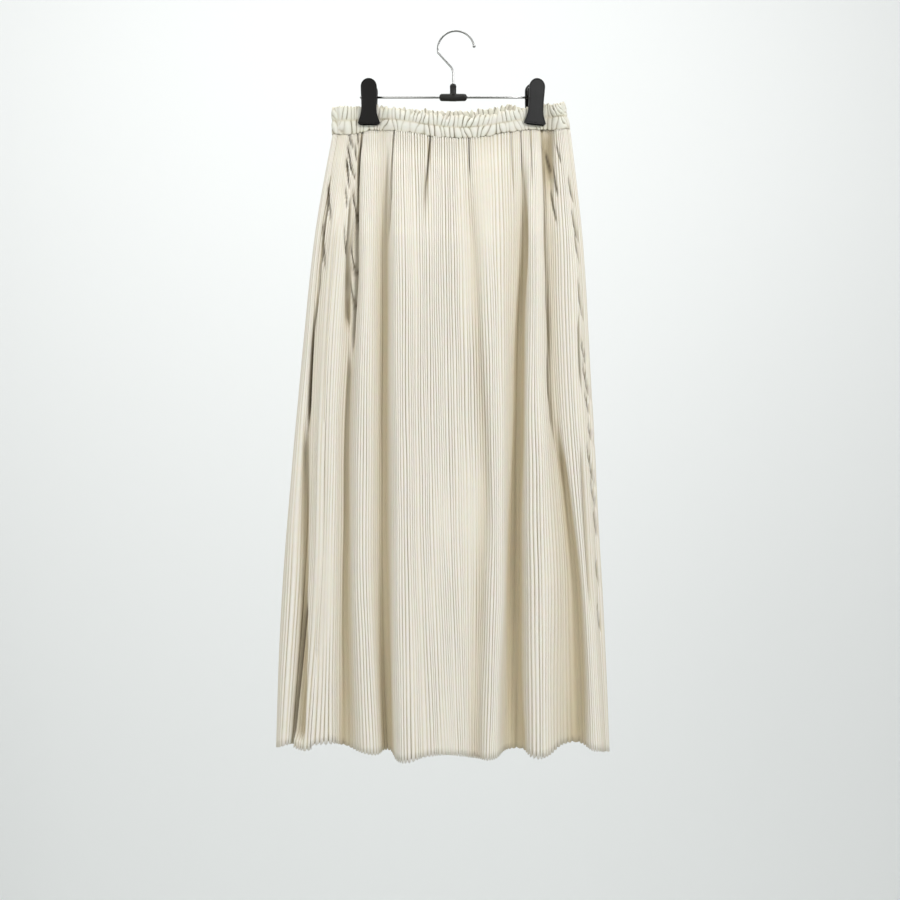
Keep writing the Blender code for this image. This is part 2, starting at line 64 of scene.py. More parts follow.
def addNode(material, kind, settings):
    # sets a new node's properties and inputs, and links an input that is given another node's output
    tree = material.node_tree
    node = tree.nodes.new("ShaderNode" + kind)
    for name, value in settings.items():
        if isinstance(value, bpy.types.NodeSocket):
            tree.links.new(value, node.inputs[name])
        elif isinstance(name, int) or name in node.inputs:
            node.inputs[name].default_value = value
        else:
            setattr(node, name, value)
    return node


def startMaterial(name, colour, roughness, **sockets):
    material = bpy.data.materials.new(name)
    material.use_nodes = True
    shader = material.node_tree.nodes["Principled BSDF"]
    sockets = {"Base_Color": linearColour(colour), "Roughness": roughness, **sockets}
    for socket, value in sockets.items():
        shader.inputs[socket.replace("_", " ")].default_value = value
    return material, shader


def endMaterial(material, shader, strength, distance, height, **outputs):
    # a bump, its distance in millimetres, and the outputs that drive the shader's other inputs
    bump = {"Strength": strength, "Distance": distance * mm, "Height": height}
    outputs["Normal"] = addNode(material, "Bump", bump).outputs["Normal"]
    for socket, output in outputs.items():
        material.node_tree.links.new(output, shader.inputs[socket.replace("_", " ")])
    return material


def meshObject(name, bm, material):
    for face in bm.faces:
        face.smooth = True
    mesh = bpy.data.meshes.new(name)
    bm.to_mesh(mesh)
    bm.free()
    mesh.materials.append(material)
    made = bpy.data.objects.new(name, mesh)
    scene.collection.objects.link(made)
    return made


def addPiece(name, bm, material, slotName, *nodes):
    piece = meshObject(name, bm, material)
    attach(piece, "root")
    if nodes:
        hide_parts(*nodes)
    return piece


# cream is the cloth's own colour; valley and bank are painted shade down a pleat's sides, crown a painted
# highlight on its pressed edge, trough a painted shade in deep folds and slit a painted dark shade in shut
# creases
clothFinish = {
    "valleyShade": "c1b492", "bank": "dfd7c2", "cream": "e9e4d7", "crown": "f3efe5", "trough": "cabd9f",
    "slitShade": "5a4f3b", "bankAt": 0.3, "creamAt": 0.6, "roughness": 0.78, "threadSpacing": 0.9,
    "slubsPerMetre": 60.0, "mottle": 0.10, "bump": 0.10,
}
# painted shade: the band's copy of the cloth colours is a little darker and greener, as the band lies flatter
# to the light
bandFinish = {
    **clothFinish,
    "valleyShade": "beb392", "bank": "dad5c2", "cream": "e4e3d7", "crown": "eeeee5", "trough": "c6bc9f",
}


def makeCloth(name, finish, width, length):
    # Pleated polyester crepe, heat-set: a matt cream with a faint sheen, and a painted highlight along the
    # pressed edges
    material, shader = startMaterial(
        name, finish["cream"], finish["roughness"], Sheen_Weight=0.1, Sheen_Roughness=0.5
    )
    uv = addNode(material, "TexCoord", {}).outputs["UV"]
    scaled = addNode(material, "Mapping", {"Scale": (width, length, 1.0), "Vector": uv}).outputs["Vector"]
    # real threads lie 0.25 mm apart, too fine for the picture, so they are drawn 0.9 mm apart
    threads = math.pi / (5 * finish["threadSpacing"] * mm) / 2
    weft = {"bands_direction": "Y", "Scale": threads, "Distortion": 1.2, "Detail": 1.0, "Vector": scaled}
    warp = {**weft, "bands_direction": "X", "Distortion": 1.0}
    over, under = (addNode(material, "TexWave", wave).outputs["Fac"] for wave in (weft, warp))
    weave = addNode(material, "Math", {"operation": "MULTIPLY", 0: over, 1: under})
    uneven = {"Scale": finish["slubsPerMetre"], "Detail": 3.0, "Roughness": 0.6, "Vector": scaled}
    slubs = addNode(material, "TexNoise", uneven)

    def shade(attribute):
        return addNode(material, "Attribute", {"attribute_name": attribute}).outputs["Fac"]

    def mixed(factor, first, second, blend="MIX"):
        mix = {"data_type": "RGBA", "blend_type": blend, 0: factor, 6: first, 7: second}
        return addNode(material, "Mix", mix).outputs[2]

    # crest is 0 in the bottom of a pleat and 1 on its pressed edge; the ramp paints shade down into the
    # valley and a highlight onto the edge
    tone = addNode(material, "ValToRGB", {"Fac": shade("crest")})
    stops = tone.color_ramp.elements
    stops[0].color = linearColour(finish["valleyShade"])
    stops[1].color = linearColour(finish["crown"])
    stops.new(finish["bankAt"]).color = linearColour(finish["bank"])
    stops.new(finish["creamAt"]).color = linearColour(finish["cream"])
    # painted shade: a warm tan laid into the deep troughs where the hollow mask is high, standing in for
    # light that only reaches there through and between folds
    shadedInTroughs = mixed(shade("hollow"), tone.outputs["Color"], linearColour(finish["trough"]))
    # painted shade: the slit mask is 1 along the bottom of a narrow crease, where the cloth lies on itself,
    # and there a dark brown is painted in
    shut = mixed(shade("slitShade"), shadedInTroughs, linearColour(finish["slitShade"]))
    mottled = mixed(finish["mottle"], shut, slubs.outputs["Color"], "MULTIPLY")
    return endMaterial(material, shader, finish["bump"], 0.4, weave.outputs["Value"], Base_Color=mottled)


plasticFinish = {"black": "1d1c1a", "worn": "2a2926", "grain": 0.6, "glossiest": 0.34, "dullest": 0.52}


def makePlastic(name, black, worn):
    # Injection-moulded polypropylene: near black, a soft broad gloss and a fine orange-peel
    material, shader = startMaterial(name, black, 0.4, IOR=1.49, Specular_IOR_Level=0.24)
    place = addNode(material, "TexCoord", {}).outputs["Object"]
    peel = {"Scale": 1 / (plasticFinish["grain"] * mm), "Detail": 2.0, "Vector": place}
    grain = addNode(material, "TexNoise", peel).outputs["Fac"]
    handled = {"Scale": 90.0, "Detail": 4.0, "Roughness": 0.65, "Vector": place}
    wear = addNode(material, "TexNoise", handled).outputs["Fac"]
    gloss = {"To Min": plasticFinish["glossiest"], "To Max": plasticFinish["dullest"], "Value": wear}
    rough = addNode(material, "MapRange", gloss).outputs["Result"]
    mix = {"data_type": "RGBA", 0: wear, 6: linearColour(black), 7: linearColour(worn)}
    colour = addNode(material, "Mix", mix).outputs[2]
    return endMaterial(material, shader, 0.12, 0.2, grain, Roughness=rough, Base_Color=colour)


steelFinish = {"chrome": "9c9c9a", "spring": "8f8f8d", "draw": 0.35}


def makeSteel(name, colour, roughness):
    # Drawn steel wire with bright chrome plate: mirror-like, broken by fine drawing marks
    material, shader = startMaterial(name, colour, roughness, Metallic=1.0)
    place = addNode(material, "TexCoord", {}).outputs["Object"]
    drawn = addNode(material, "Mapping", {"Scale": (1.0, 1.0, 0.15), "Vector": place}).outputs["Vector"]
    scratch = {"Scale": 1 / (steelFinish["draw"] * mm), "Detail": 3.0, "Vector": drawn}
    marks = addNode(material, "TexNoise", scratch).outputs["Fac"]
    gloss = {"To Min": roughness * 0.7, "To Max": roughness * 1.5, "Value": marks}
    rough = addNode(material, "MapRange", gloss).outputs["Result"]
    return endMaterial(material, shader, 0.05, 0.1, marks, Roughness=rough)


# Levels run from 0 at the waist seam to 1 at the hem. A fold opens and settles down them by these shares.
foldLevels = (0.0, 0.17, 0.43, 0.69, 1.0)
openingLevels = (0.0, 0.05, 0.17, 0.43, 0.69, 1.0)
openingShares = (0.0, 0.36, 0.64, 0.78, 0.87, 1.0)
settlingLevels = (0.0, 0.05, 0.17, 1.0)
settlingShares = (0.0, 0.55, 1.0, 1.0)

# One row for each crease or ridge, round the skirt from the left side seam, in millimetres.
# waist to hem: x at the fold levels. topY: y at the waist seam. troughY: y of a closed fold.
# lift: what the fold adds to it at the hem. hemZ: z of the hem. pleat: how deep the pleats are there.
FoldRow = namedtuple("FoldRow", "name waist hip thigh knee hem topY troughY lift hemZ pleat")

frontFolds = (
    ("sideSeamLeft", -163, -187, -202, -207, -227, -5.5, -10, -1, -981, 0.8),
    ("leftFanIn", -157, -178, -192, -198, -217, -7, -11, -8, -985, 0.9),
    ("leftFanOut", -151.5, -168, -183, -188, -203, -8, -11, -15, -988, 0.9),
    ("leftStep", -149, -163, -177, -182, -197, -7, -11, -6, -980, 0.8),
    ("leftPanelIn", -144, -155, -169, -174, -182, -5, -11, -20, -975, 0.9),
    ("leftPanelOut", -140, -149, -161, -166, -168, -3, -11, -17, -974, 1),
    ("leftTroughIn", -135, -143, -154, -158, -158, -2.3, -11, -1, -981, 0.9),
    ("leftTroughOut", -130, -136, -144, -147, -144, -2.2, -11, -2, -986, 0.8),
    ("innerPanelIn", -124, -127, -132, -135, -126, -2.2, -11, -22, -988, 1.2),
    ("innerPanelOut", -113, -114, -116, -116, -104, -2.2, -11, -23, -991, 1.05),
    ("innerTroughIn", -103, -104, -107, -107, -100, -1.6, -11, -1, -988, 0.8),
    ("innerTroughOut", -95, -95, -93, -93, -87, -5, -11, 0, -988, 0.85),
    ("centreRidgeIn", -87, -86, -84, -83, -80, -8, -11, -31, -998, 1.1),
    ("centreRidgeOut", -74, -71, -69, -66, -61, -9, -11, -31, -997, 1),
    ("centreLeft", -61, -56, -54, -50, -42, -9, -11, -26, -990, 0.95),
    ("centre", -39, -38, -35, -30, -18, -9, -11, -25, -989, 1),
    ("centreRight", -8, -6, -2, 3, 12, -9, -11, -24, -990, 1.1),
    ("shallowTrough", 19, 26, 31, 33, 27, -9, -11, -14, -997, 0.9),
    ("rightPanelIn", 33, 38, 46, 49, 39, -9, -11, -25, -996, 1.35),
    ("rightPanelOut", 52, 56, 61, 61, 56, -9, -11, -26, -995, 1.1),
    ("deepTroughIn", 80, 81, 75, 71, 63, -8.5, -11, 0, -987, 0.6),
    ("deepTroughOut", 92.6, 93, 89, 88, 86, -5.8, -11, 0, -987, 0.6),
    ("outerPanelIn", 101.6, 101, 98, 99, 105, -3.7, -11, -25, -993, 1.3),
    ("outerPanelOut", 112.6, 114, 115, 123, 123, -1.4, -11, -25, -995, 1.15),
    ("outerTroughIn", 120.6, 123, 128, 143, 144, 0.4, -11, -1, -977, 0.7),
    ("outerTroughOut", 127.6, 130, 137, 159, 174, 1.9, -11, -1, -981, 0.7),
    ("rightEdgePanelIn", 137.5, 146, 152, 170, 183, -5.4, -11, -14, -986, 1.25),
    ("rightEdgePanelOut", 147.5, 159, 169, 182, 196, -8, -11, -10, -988, 1.1),
    ("sideSeamRight", 153.5, 169, 181, 192, 206, -5, -8, -1, -992, 0.9),
)
backFolds = (
    ("rightEdgeFront", 157, 174.5, 187.5, 199, 212, -2, -4, 0, -993, 0.9),
    ("rightEdgeBack", 156, 174.5, 187.5, 199, 211, 5, 6, 0, -991, 0.9),
    ("rightTurn", 150, 165, 179, 189, 200, 9, 12, 5, -985, 0.9),
    ("rightPanel", 142, 150, 161, 171, 182, 9, 12, 17, -984, 0.8),
    ("rightDip", 130.5, 138, 146, 154, 163, 7, 12, 9, -985, 0.9),
    ("rightRidge", 120.6, 128, 133, 139, 145, 4.8, 12, 18, -984, 1),
    ("rightTroughOut", 111.6, 118, 121, 126, 131, 3, 12, 0, -979, 0.6),
    ("rightTroughIn", 102.6, 108, 110, 113, 116, 1, 12, 0, -979, 0.6),
    ("rightInnerOut", 93, 98, 99, 100, 102, -2.25, 12, 21, -983, 1),
    ("rightInnerIn", 78, 82, 83, 83, 82, 1.9, 12, 25, -985, 0.8),
    ("innerTroughOut", 69, 73, 73, 72, 69, 8, 12, 1, -978, 0.6),
    ("innerTroughIn", 62, 62, 61, 60, 56, 9, 12, 0, -978, 0.6),
    ("centreOut", 51, 51, 49, 46, 42, 9, 12, 20, -982, 1),
    ("centreMid", 33, 32, 30, 28, 25, 9, 12, 22, -983, 0.7),
    ("centreDipOut", 14, 13, 12, 10, 8, 9, 12, 8, -980, 0.9),
    ("centreDipIn", 1, 0, -2, -4, -7, 9, 12, 7, -980, 0.9),
    ("centreLeftOut", -17, -18, -20, -23, -28, 9, 12, 23, -984, 1),
    ("centreLeftIn", -41, -43, -46, -50, -55, 9, 12, 25, -984, 0.7),
    ("leftTroughIn", -54, -56, -60, -64, -70, 9, 12, 0, -978, 0.6),
    ("leftTroughOut", -65, -68, -72, -77, -84, 9, 12, 1, -978, 0.6),
    ("leftInnerIn", -77, -80, -85, -91, -99, 9, 12, 22, -982, 1),
    ("leftInnerOut", -94, -98, -105, -112, -121, 5, 12, 18, -983, 0.8),
    ("leftDipIn", -104, -110, -118, -126, -136, 1.4, 12, 4, -980, 0.7),
    ("leftDipOut", -114, -121, -131, -140, -151, 2.2, 12, 5, -981, 0.9),
    ("leftPanelIn", -125, -134, -147, -157, -169, 2.2, 12, 15, -984, 0.8),
    ("leftPanelOut", -136, -148, -165, -179, -192, 1.5, 12, 17, -985, 0.8),
    ("leftTurn", -151, -167, -187, -202, -217, 5.3, 12, 6, -985, 0.9),
    ("leftEdgeBack", -164, -184, -206, -224, -239, 6, 9, 0, -987, 0.9),
    ("leftEdgeSide", -170, -194, -217, -237, -249, 1, 2, 0, -987, 0.9),
    ("leftEdgeFront", -170, -194, -217, -236, -248, -2.4, -6, -1, -987, 0.9),
    ("leftStripOut", -168.5, -190, -211, -226, -240, -4.4, -10, -6, -984, 0.9),
    ("leftStripIn", -166, -187, -205, -215, -232, -5.2, -11, -6, -980, 0.8),
)
foldRows = [FoldRow(*row) for row in frontFolds + backFolds]
leftSeam = 0
rightSeam = len(frontFolds) - 1

# z of the waist seam and of the band's top edge, along x
WaistRow = namedtuple("WaistRow", "x frontSeam frontTop backSeam backTop")
waistHeights = (
    (-176, -142, -106.5, -142, -106.5),
    (-150, -143, -106.2, -141, -105.5),
    (-120, -137, -104.6, -136, -104),
    (-85, -138.1, -109, -137, -104.5),
    (-40, -145, -116.2, -138, -106),
    (0, -149.1, -120.3, -140, -108),
    (40, -146.4, -118.4, -137, -105.3),
    (74, -140.6, -112.4, -133.5, -101.4),
    (112, -135.3, -105.3, -133, -101),
    (132, -136.1, -102.5, -134.5, -100.5),
    (162, -134.8, -99.5, -134.8, -99.5),
)
waistRows = [WaistRow(*row) for row in waistHeights]

# Creases laid in one by one, with levels in thousandths. A row holds its name, the level and x of places
# down the crease, half its breadth at the top and at the foot, its skew (above 0 the left bank is the
# gentle one), how far it sinks, or rises if negative, and the levels over which it starts and ends.
frontCreases = (
    ("leftSlit", ((-20, -126.5), (42, -132.6), (167, -134.4), (250, -136.3), (310, -139.5), (375, -142)),
     (1.5, 2.6), 0.35, 11, (20, 50)),
    ("leftWedge", ((100, -144), (167, -146), (264, -147.5), (330, -148)), (0.9, 3.8), 0, 8, (30, 30)),
    ("leftTrough", ((340, -146.5), (457, -150), (600, -152), (780, -152.5), (1050, -154)),
     (2.5, 8), -0.4, 5, (60, 20)),
    ("seamSlit", ((60, -171.5), (207, -184.3), (256, -187.2), (313, -193.8), (386, -198.2), (500, -203)),
     (1.4, 2), 0.2, 9, (60, 60)),
    ("seamPocket", ((450, -203.5), (550, -204.5), (700, -205), (850, -206), (990, -209)),
     (3.5, 7.5), 0.6, 9, (80, 20)),
    ("fanSlit", ((700, -202), (783, -208.8), (880, -215.6), (960, -221.5), (1050, -226)),
     (1.6, 2.4), 0.3, 9, (100, 60)),
    ("stepFill", ((80, -158), (170, -163), (430, -178), (690, -183), (1050, -198)),
     (6, 7), 0, -7, (100, 20)),
    ("slitBank", ((30, -137), (170, -139), (300, -141.5), (400, -146)), (3.5, 3.5), 0, -5, (60, 80)),
    ("bandSlitLeft", ((-10, -84.7), (20, -86.7), (100, -90), (200, -95)), (1.2, 3), 0, 4.5, (10, 80)),
    ("innerTrough", ((10, -92.9), (100, -96.5), (300, -98), (600, -98.5), (1050, -97)),
     (2.5, 9.5), 0, 3, (80, 20)),
    ("bandSlitCentre", ((-10, -34.9), (45, -38.3), (90, -41.4), (170, -43)), (1.5, 4), 0, 7.5, (10, 110)),
    ("centreCleft", ((20, 18.2), (100, 19.5), (180, 24), (280, 27), (400, 32.6), (550, 39), (700, 33),
     (900, 26.5), (1050, 26)), (6.5, 9), 0, 3.4, (120, 50)),
    ("cleftTop", ((-10, 17.6), (30, 18), (80, 19)), (1.2, 2.2), 0, 5, (10, 50)),
    ("rightSlitA", ((-10, 74.9), (40, 76.5), (120, 79)), (0.9, 1.4), 0, 3.2, (10, 70)),
    ("rightSlitB", ((-10, 89), (40, 90), (120, 92)), (0.9, 1.8), 0, 3.6, (10, 70)),
    ("rightSlitC", ((-10, 102), (40, 103.5), (110, 103.5)), (0.9, 1.4), 0, 3.2, (10, 60)),
    ("deepTrough", ((30, 92.5), (100, 93), (200, 92.5), (300, 88), (500, 84), (650, 80.8), (900, 81),
     (1050, 87)), (3.5, 8.5), 0, 9, (140, 20)),
    ("rightSlit", ((-20, 117.5), (13, 119.5), (200, 121.5), (330, 125.4), (426, 126.9), (475, 130.8),
     (540, 138)), (1.8, 2.3), -0.3, 10, (20, 120)),
    ("rightRecess", ((-20, 125), (50, 127), (140, 130)), (7, 5.5), 0, 10, (10, 90)),
    ("rightPocket", ((460, 134), (550, 146), (650, 156), (750, 163), (850, 166), (1050, 166)),
     (3, 13), 0, 10, (100, 20)),
    ("outerPocket", ((500, 170), (600, 175), (700, 180), (800, 184)), (3, 4.5), 0, 6, (60, 80)),
)
backCreases = (
    ("slitA", ((-10, 66), (100, 70), (350, 68), (600, 65)), (1.2, 3.4), 0, 6, (10, 200)),
    ("slitB", ((-10, -59), (100, -62), (400, -67), (700, -72)), (1.3, 3.6), 0, 6.5, (10, 250)),
    ("slitC", ((-10, 8), (80, 7), (220, 5)), (1, 3), 0, 4.5, (10, 120)),
    ("slitD", ((-10, -108), (120, -114), (300, -122), (500, -130)), (1.5, 3), -0.3, 6, (10, 150)),
    ("slitE", ((-10, 109), (100, 112), (280, 115)), (1.2, 2.8), 0.3, 5, (10, 120)),
    ("slitF", ((-10, -30), (50, -31), (130, -33)), (0.9, 1.6), 0, 3.5, (10, 60)),
    ("slitG", ((-10, 40), (60, 41), (150, 43)), (0.9, 1.8), 0, 3.5, (10, 70)),
    ("slitH", ((50, -173), (250, -193), (500, -206)), (1.6, 2.4), 0, 4, (50, 100)),
    ("slitJ", ((40, 146), (200, 155), (420, 164)), (1.4, 2.2), 0, 4, (40, 100)),
    ("troughA", ((100, 66), (400, 66), (700, 63), (1050, 60)), (3, 6.5), 0, 5, (100, 20)),
    ("troughB", ((100, -61), (400, -66), (700, -71), (1050, -78)), (3, 6.5), 0, 5, (100, 20)),
    ("troughC", ((100, 112), (400, 115), (700, 119), (1050, 124)), (3, 6.5), 0, 5, (100, 20)),
)

# Short slanted wrinkles where the cloth twists: level and x of both ends, half breadth and depth
frontWrinkles = (
    (75, 154, 125, 163.5, 1.5, 4), (128, 158.5, 186, 169, 1.7, 4.5), (165, 162, 220, 169, 1.4, 3.5),
    (245, 165.5, 275, 169.5, 1.3, 3.5), (252, 165.5, 310, 174.8, 1.7, 5),
    (290, 166.3, 430, 172, 1.5, 4.5), (338, 169.8, 380, 180.5, 1.5, 4.5),
    (374, 172.6, 436, 185.8, 1.6, 5), (422, 175.4, 463, 185.8, 1.4, 4), (474, 180.8, 506, 190, 1.4, 4),
    (505, 178, 576, 192.6, 1.7, 5), (562, 183.5, 610, 194, 1.5, 4.5), (608, 189, 658, 195.4, 1.5, 4),
    (688, 191.6, 732, 196.8, 1.5, 3.5), (760, 193, 810, 199.5, 1.5, 3), (-5, -148, 28, -140.6, 1.2, 4),
    (10, -150.2, 70, -141.4, 1.4, 4.5), (16, -139.6, 52, -136, 1.1, 3.5),
    (36, -151.4, 80, -147.4, 1.3, 4), (-15, -136.5, 26, -134.2, 1.1, 3.5),
    (40, -152, 100, -144, 1.4, 4.5), (45, -145.2, 84, -137, 1.2, 4), (88, -152.6, 130, -147.5, 1.3, 4),
    (88, -142.6, 172, -132.6, 1.5, 4.5), (150, -153.5, 215, -147, 1.3, 3),
    (180, -143.5, 245, -136.5, 1.4, 4), (235, -144, 300, -138.8, 1.3, 3.5), (30, 124, 75, 129.5, 1.4, 4),
    (52, 131, 115, 140.5, 1.5, 4), (95, 128, 160, 139, 1.5, 4), (20, 137, 60, 145, 1.3, 3),
    (80, -176.5, 150, -171, 1.3, 3), (140, -184, 230, -178.5, 1.3, 3.4),
)
backWrinkles = (
    (60, -174, 150, -166, 1.3, 3.2), (130, -184, 230, -174, 1.4, 3.6), (220, -196, 330, -185, 1.4, 3.6),
    (310, -204, 430, -193, 1.4, 3.2), (410, -213, 520, -202, 1.3, 3), (500, -222, 620, -211, 1.3, 2.8),
    (10, -150, 80, -142, 1.3, 3.2), (45, -152.5, 120, -143, 1.4, 3.6), (85, -149, 150, -141, 1.2, 3),
    (120, -158, 200, -147, 1.4, 3.4), (90, 150, 170, 158, 1.3, 2.8), (155, 153, 250, 163, 1.3, 3.2),
    (225, 158, 310, 167, 1.2, 2.8), (285, 163, 390, 174, 1.3, 3.2), (360, 168, 460, 178, 1.2, 2.8),
    (435, 173, 545, 184, 1.3, 3.2), (525, 179, 620, 188, 1.2, 2.6),
)

skirt = {
    "pleats": {"front": 122, "back": 124}, "columnPlaces": np.array((0.0, 0.22, 0.5, 0.78)),
    "rows": 100, "wall": 0.7, "seamGap": 0.3, "pleatRise": 0.3, "pleatSpread": 0.3,
    "sharpness": 0.9, "ownDepth": 0.35, "leastDepth": 0.15, "mostDepth": 1.6, "widestPitch": 1.3,
    "hollowLoss": 0.45, "seamGain": 0.5, "seamShade": 0.16, "ripple": 1.1, "wander": 0.7,
    "scallop": 1.5, "scallopFrom": 0.97, "deepestSink": 11.0, "seed": 11,
}
hollow = {"reach": 26.0, "slack": 5.0, "full": 26.0, "fullSink": 17.0}
# which creases count as broad, and how narrow and deep one is that lies shut
creasing = {
    "broadFrom": 2.0, "broadOver": 2.5, "leastBroad": 0.2,
    "shutWidth": 3.2, "shutLoss": 0.6, "shutDepth": 5.0, "shutReach": 0.7,
}
wrinkleRule = {"bend": 0.44, "ends": 0.3, "topWidth": 0.95, "footWidth": 1.25, "deeper": 1.0}


def through(stations, values, at):
    # a smooth curve through values at the stations
    stations = np.asarray(stations, float)
    values = np.asarray(values, float)
    slopes = np.gradient(values, stations, axis=0)
    at = np.clip(at, stations[0], stations[-1])
    left = np.clip(np.searchsorted(stations, at, side="right") - 1, 0, len(stations) - 2)
    width = stations[left + 1] - stations[left]
    f = (at - stations[left]) / width
    start = (1 + 2 * f) * (1 - f) ** 2 * values[left] + f * (1 - f) ** 2 * width * slopes[left]
    end = f**2 * (3 - 2 * f) * values[left + 1] - f**2 * (1 - f) * width * slopes[left + 1]
    return start + end


def roundLoop(values, t):
    # a closed, smooth curve round the fold rows, at places t counted in rows
    values = np.asarray(values, float)
    row = np.floor(t).astype(int)
    f = t - row
    weights = ((1 - f) ** 3, 3 * f**3 - 6 * f**2 + 4, -3 * f**3 + 3 * f**2 + 3 * f + 1, f**3)
    return sum(w * values[(row + s) % len(values)] for s, w in zip((-1, 0, 1, 2), weights)) / 6


def foldColumn(*names):
    return np.array([[getattr(row, name) for row in foldRows] for name in names], float)


foldX = foldColumn("waist", "hip", "thigh", "knee", "hem")
topY, troughY, foldLift = foldColumn("topY", "troughY", "lift")
hemHeights, pleatDepths = foldColumn("hemZ", "pleat")


def smoothStep(value):
    value = np.clip(value, 0.0, 1.0)
    return value * value * (3 - 2 * value)


def bell(distance):
    return np.exp(-(distance**2))


# side is -1 on the front and 1 on the back
Crease = namedtuple("Crease", "side levels xs width skew depth soften")


def handCrease(side, name, places, width, skew, depth, soften):
    levels = [level / 1000 for level, x in places]
    return Crease(side, levels, [x for level, x in places], width, skew, depth, [s / 1000 for s in soften])


def wrinkleCrease(side, level, x, endLevel, endX, width, depth):
    level, endLevel = level / 1000, endLevel / 1000
    levels = level, (level + endLevel) / 2, endLevel
    middleX = x * (1 - wrinkleRule["bend"]) + endX * wrinkleRule["bend"]
    widths = width * wrinkleRule["topWidth"], width * wrinkleRule["footWidth"]
    ends = (endLevel - level) * wrinkleRule["ends"]
    return Crease(side, levels, (x, middleX, endX), widths, 0.0, depth + wrinkleRule["deeper"], (ends, ends))


creaseList = [handCrease(-1, *row) for row in frontCreases] + [handCrease(1, *row) for row in backCreases]
creaseList += [wrinkleCrease(-1, *row) for row in frontWrinkles]
creaseList += [wrinkleCrease(1, *row) for row in backWrinkles]


def sinkAt(level, x, y):
    # how far the creases push the cloth in at a level, the broad ones alone, and where one lies shut, the
    # mask for a painted dark shade
    sunk, broad, shut = np.zeros((3, len(x)))
    for crease in creaseList:
        first, last = crease.levels[0], crease.levels[-1]
        if not first < level < last:
            continue
        shown = smoothStep((level - first) / crease.soften[0]) * smoothStep((last - level) / crease.soften[1])
        middle = through(crease.levels, crease.xs, level)
        width = np.interp(level, (first, last), crease.width)
        bank = width * np.where(x < middle, 1 + crease.skew, 1 - crease.skew)
        facing = smoothStep(0.5 + crease.side * y / 6)
        across = (x - middle) / bank
        pushed = crease.depth * shown * facing * bell(across)
        sunk += pushed
        breadth = (width - creasing["broadFrom"]) / creasing["broadOver"]
        broad += pushed * min(1.0, max(creasing["leastBroad"], breadth))
        narrow = max(0.0, min(1.0, creasing["shutWidth"] / width - creasing["shutLoss"]))
        narrow *= min(1.0, max(0.0, crease.depth) / creasing["shutDepth"])
        shut += narrow * shown * facing * bell(across / creasing["shutReach"])
    deepest = skirt["deepestSink"]
    return np.minimum(sunk, deepest), np.minimum(broad, deepest), np.minimum(shut, 1.0)


def clothLine(level, t):
    # x and y of the cloth's middle line at a level, at places t along the fold rows
    x = roundLoop(through(foldLevels, foldX, level), t)
    opened = through(openingLevels, openingShares, level)
    settled = np.interp(level, settlingLevels, settlingShares)
    y = roundLoop(topY * (1 - settled) + (troughY + foldLift * opened) * settled, t)
    return x, y


def spaced(first, last, levels, count, weights=None):
    # places along the fold rows that share the cloth out, evenly or by the weights
    t = np.linspace(first, last, (last - first) * 30 + 1)
    share = np.zeros(len(t))
    for level in levels:
        x, y = clothLine(level, t)
        steps = np.hypot(np.diff(x), np.diff(y))
        share[1:] += np.cumsum(steps) / steps.sum() / len(levels)
    wanted = np.linspace(0, 1, count)
    if weights is not None:
        wanted = np.concatenate(([0.0], np.cumsum(weights))) / np.sum(weights)
    return np.interp(wanted, share, t)


def waistHeight(t, edge):
    x, y = clothLine(0.0, t)
    stations = [row.x for row in waistRows]
    front = through(stations, [getattr(row, "front" + edge) for row in waistRows], x)
    back = through(stations, [getattr(row, "back" + edge) for row in waistRows], x)
    behind = np.clip(y / 4 + 0.5, 0, 1)
    return front * (1 - behind) + back * behind


def middleLine(level, t):
    # points, outward directions, with the ends set back from the side seams
    points = np.stack(clothLine(level, t), axis=1)
    near = np.stack(clothLine(level, t + 0.02), axis=1) - np.stack(clothLine(level, t - 0.02), axis=1)
    along = near / np.linalg.norm(near, axis=1, keepdims=True)
    points[0] += along[0] * skirt["seamGap"] / 2
    points[-1] -= along[-1] * skirt["seamGap"] / 2
    return points, np.stack((along[:, 1], -along[:, 0]), axis=1)


def hollowAt(line, outward, sunk):
    # from 0 on a fold's crest to 1 in a deep trough, against what lies near it on its own side
    apart = np.abs(line[:, None, 0] - line[None, :, 0]) / hollow["reach"]
    slack = np.where(apart < 1, hollow["slack"] * apart**2, 1000.0)
    front = line[:, 1] - np.min(line[None, :, 1] + slack, axis=1)
    back = np.max(line[None, :, 1] - slack, axis=1) - line[:, 1]
    facing = smoothStep(0.5 - 1.2 * outward[:, 1])
    depth = front * facing + back * (1 - facing)
    return np.clip(depth / hollow["full"] + np.maximum(sunk, 0) / hollow["fullSink"], 0, 1)


def deepestRise(points, wall):
    # the deepest pleat that a bend of the middle line has room for
    steps = np.diff(points, axis=0)
    angles = np.unwrap(np.arctan2(steps[:, 1], steps[:, 0]))
    turn = np.abs(np.diff(angles))
    reach = np.linalg.norm(steps, axis=1)
    radius = np.full(len(points), 1000.0)
    radius[1:-1] = (reach[1:] + reach[:-1]) / 2 / np.maximum(turn, 0.001)
    return np.maximum(0.6 * radius - wall / 2, 0.25)


def smoothed(values, width):
    kernel = np.hanning(width + 2)[1:-1]
    kernel /= kernel.sum()
    return np.convolve(np.pad(values, width, mode="edge"), kernel, mode="same")[width:-width]


clips = (
    {"name": "Left", "x": -119.8, "turn": 0.0, "tilt": 0.0, "black": "0c0b09", "worn": "12110e"},
    {"name": "Right", "x": 108.6, "turn": 12.0, "tilt": 2.4, "black": "0f0f0e", "worn": "161614"},
)
press = {"halfWidth": 16.0, "share": 0.7, "fadeLevel": 0.03}


def squeeze(x, level):
    # what is left of a pleat's depth where a clip presses the cloth
    pressed = sum(bell((x - clip["x"]) / press["halfWidth"]) for clip in clips)
    return 1 - press["share"] * pressed * max(0.0, 1 - level / press["fadeLevel"])


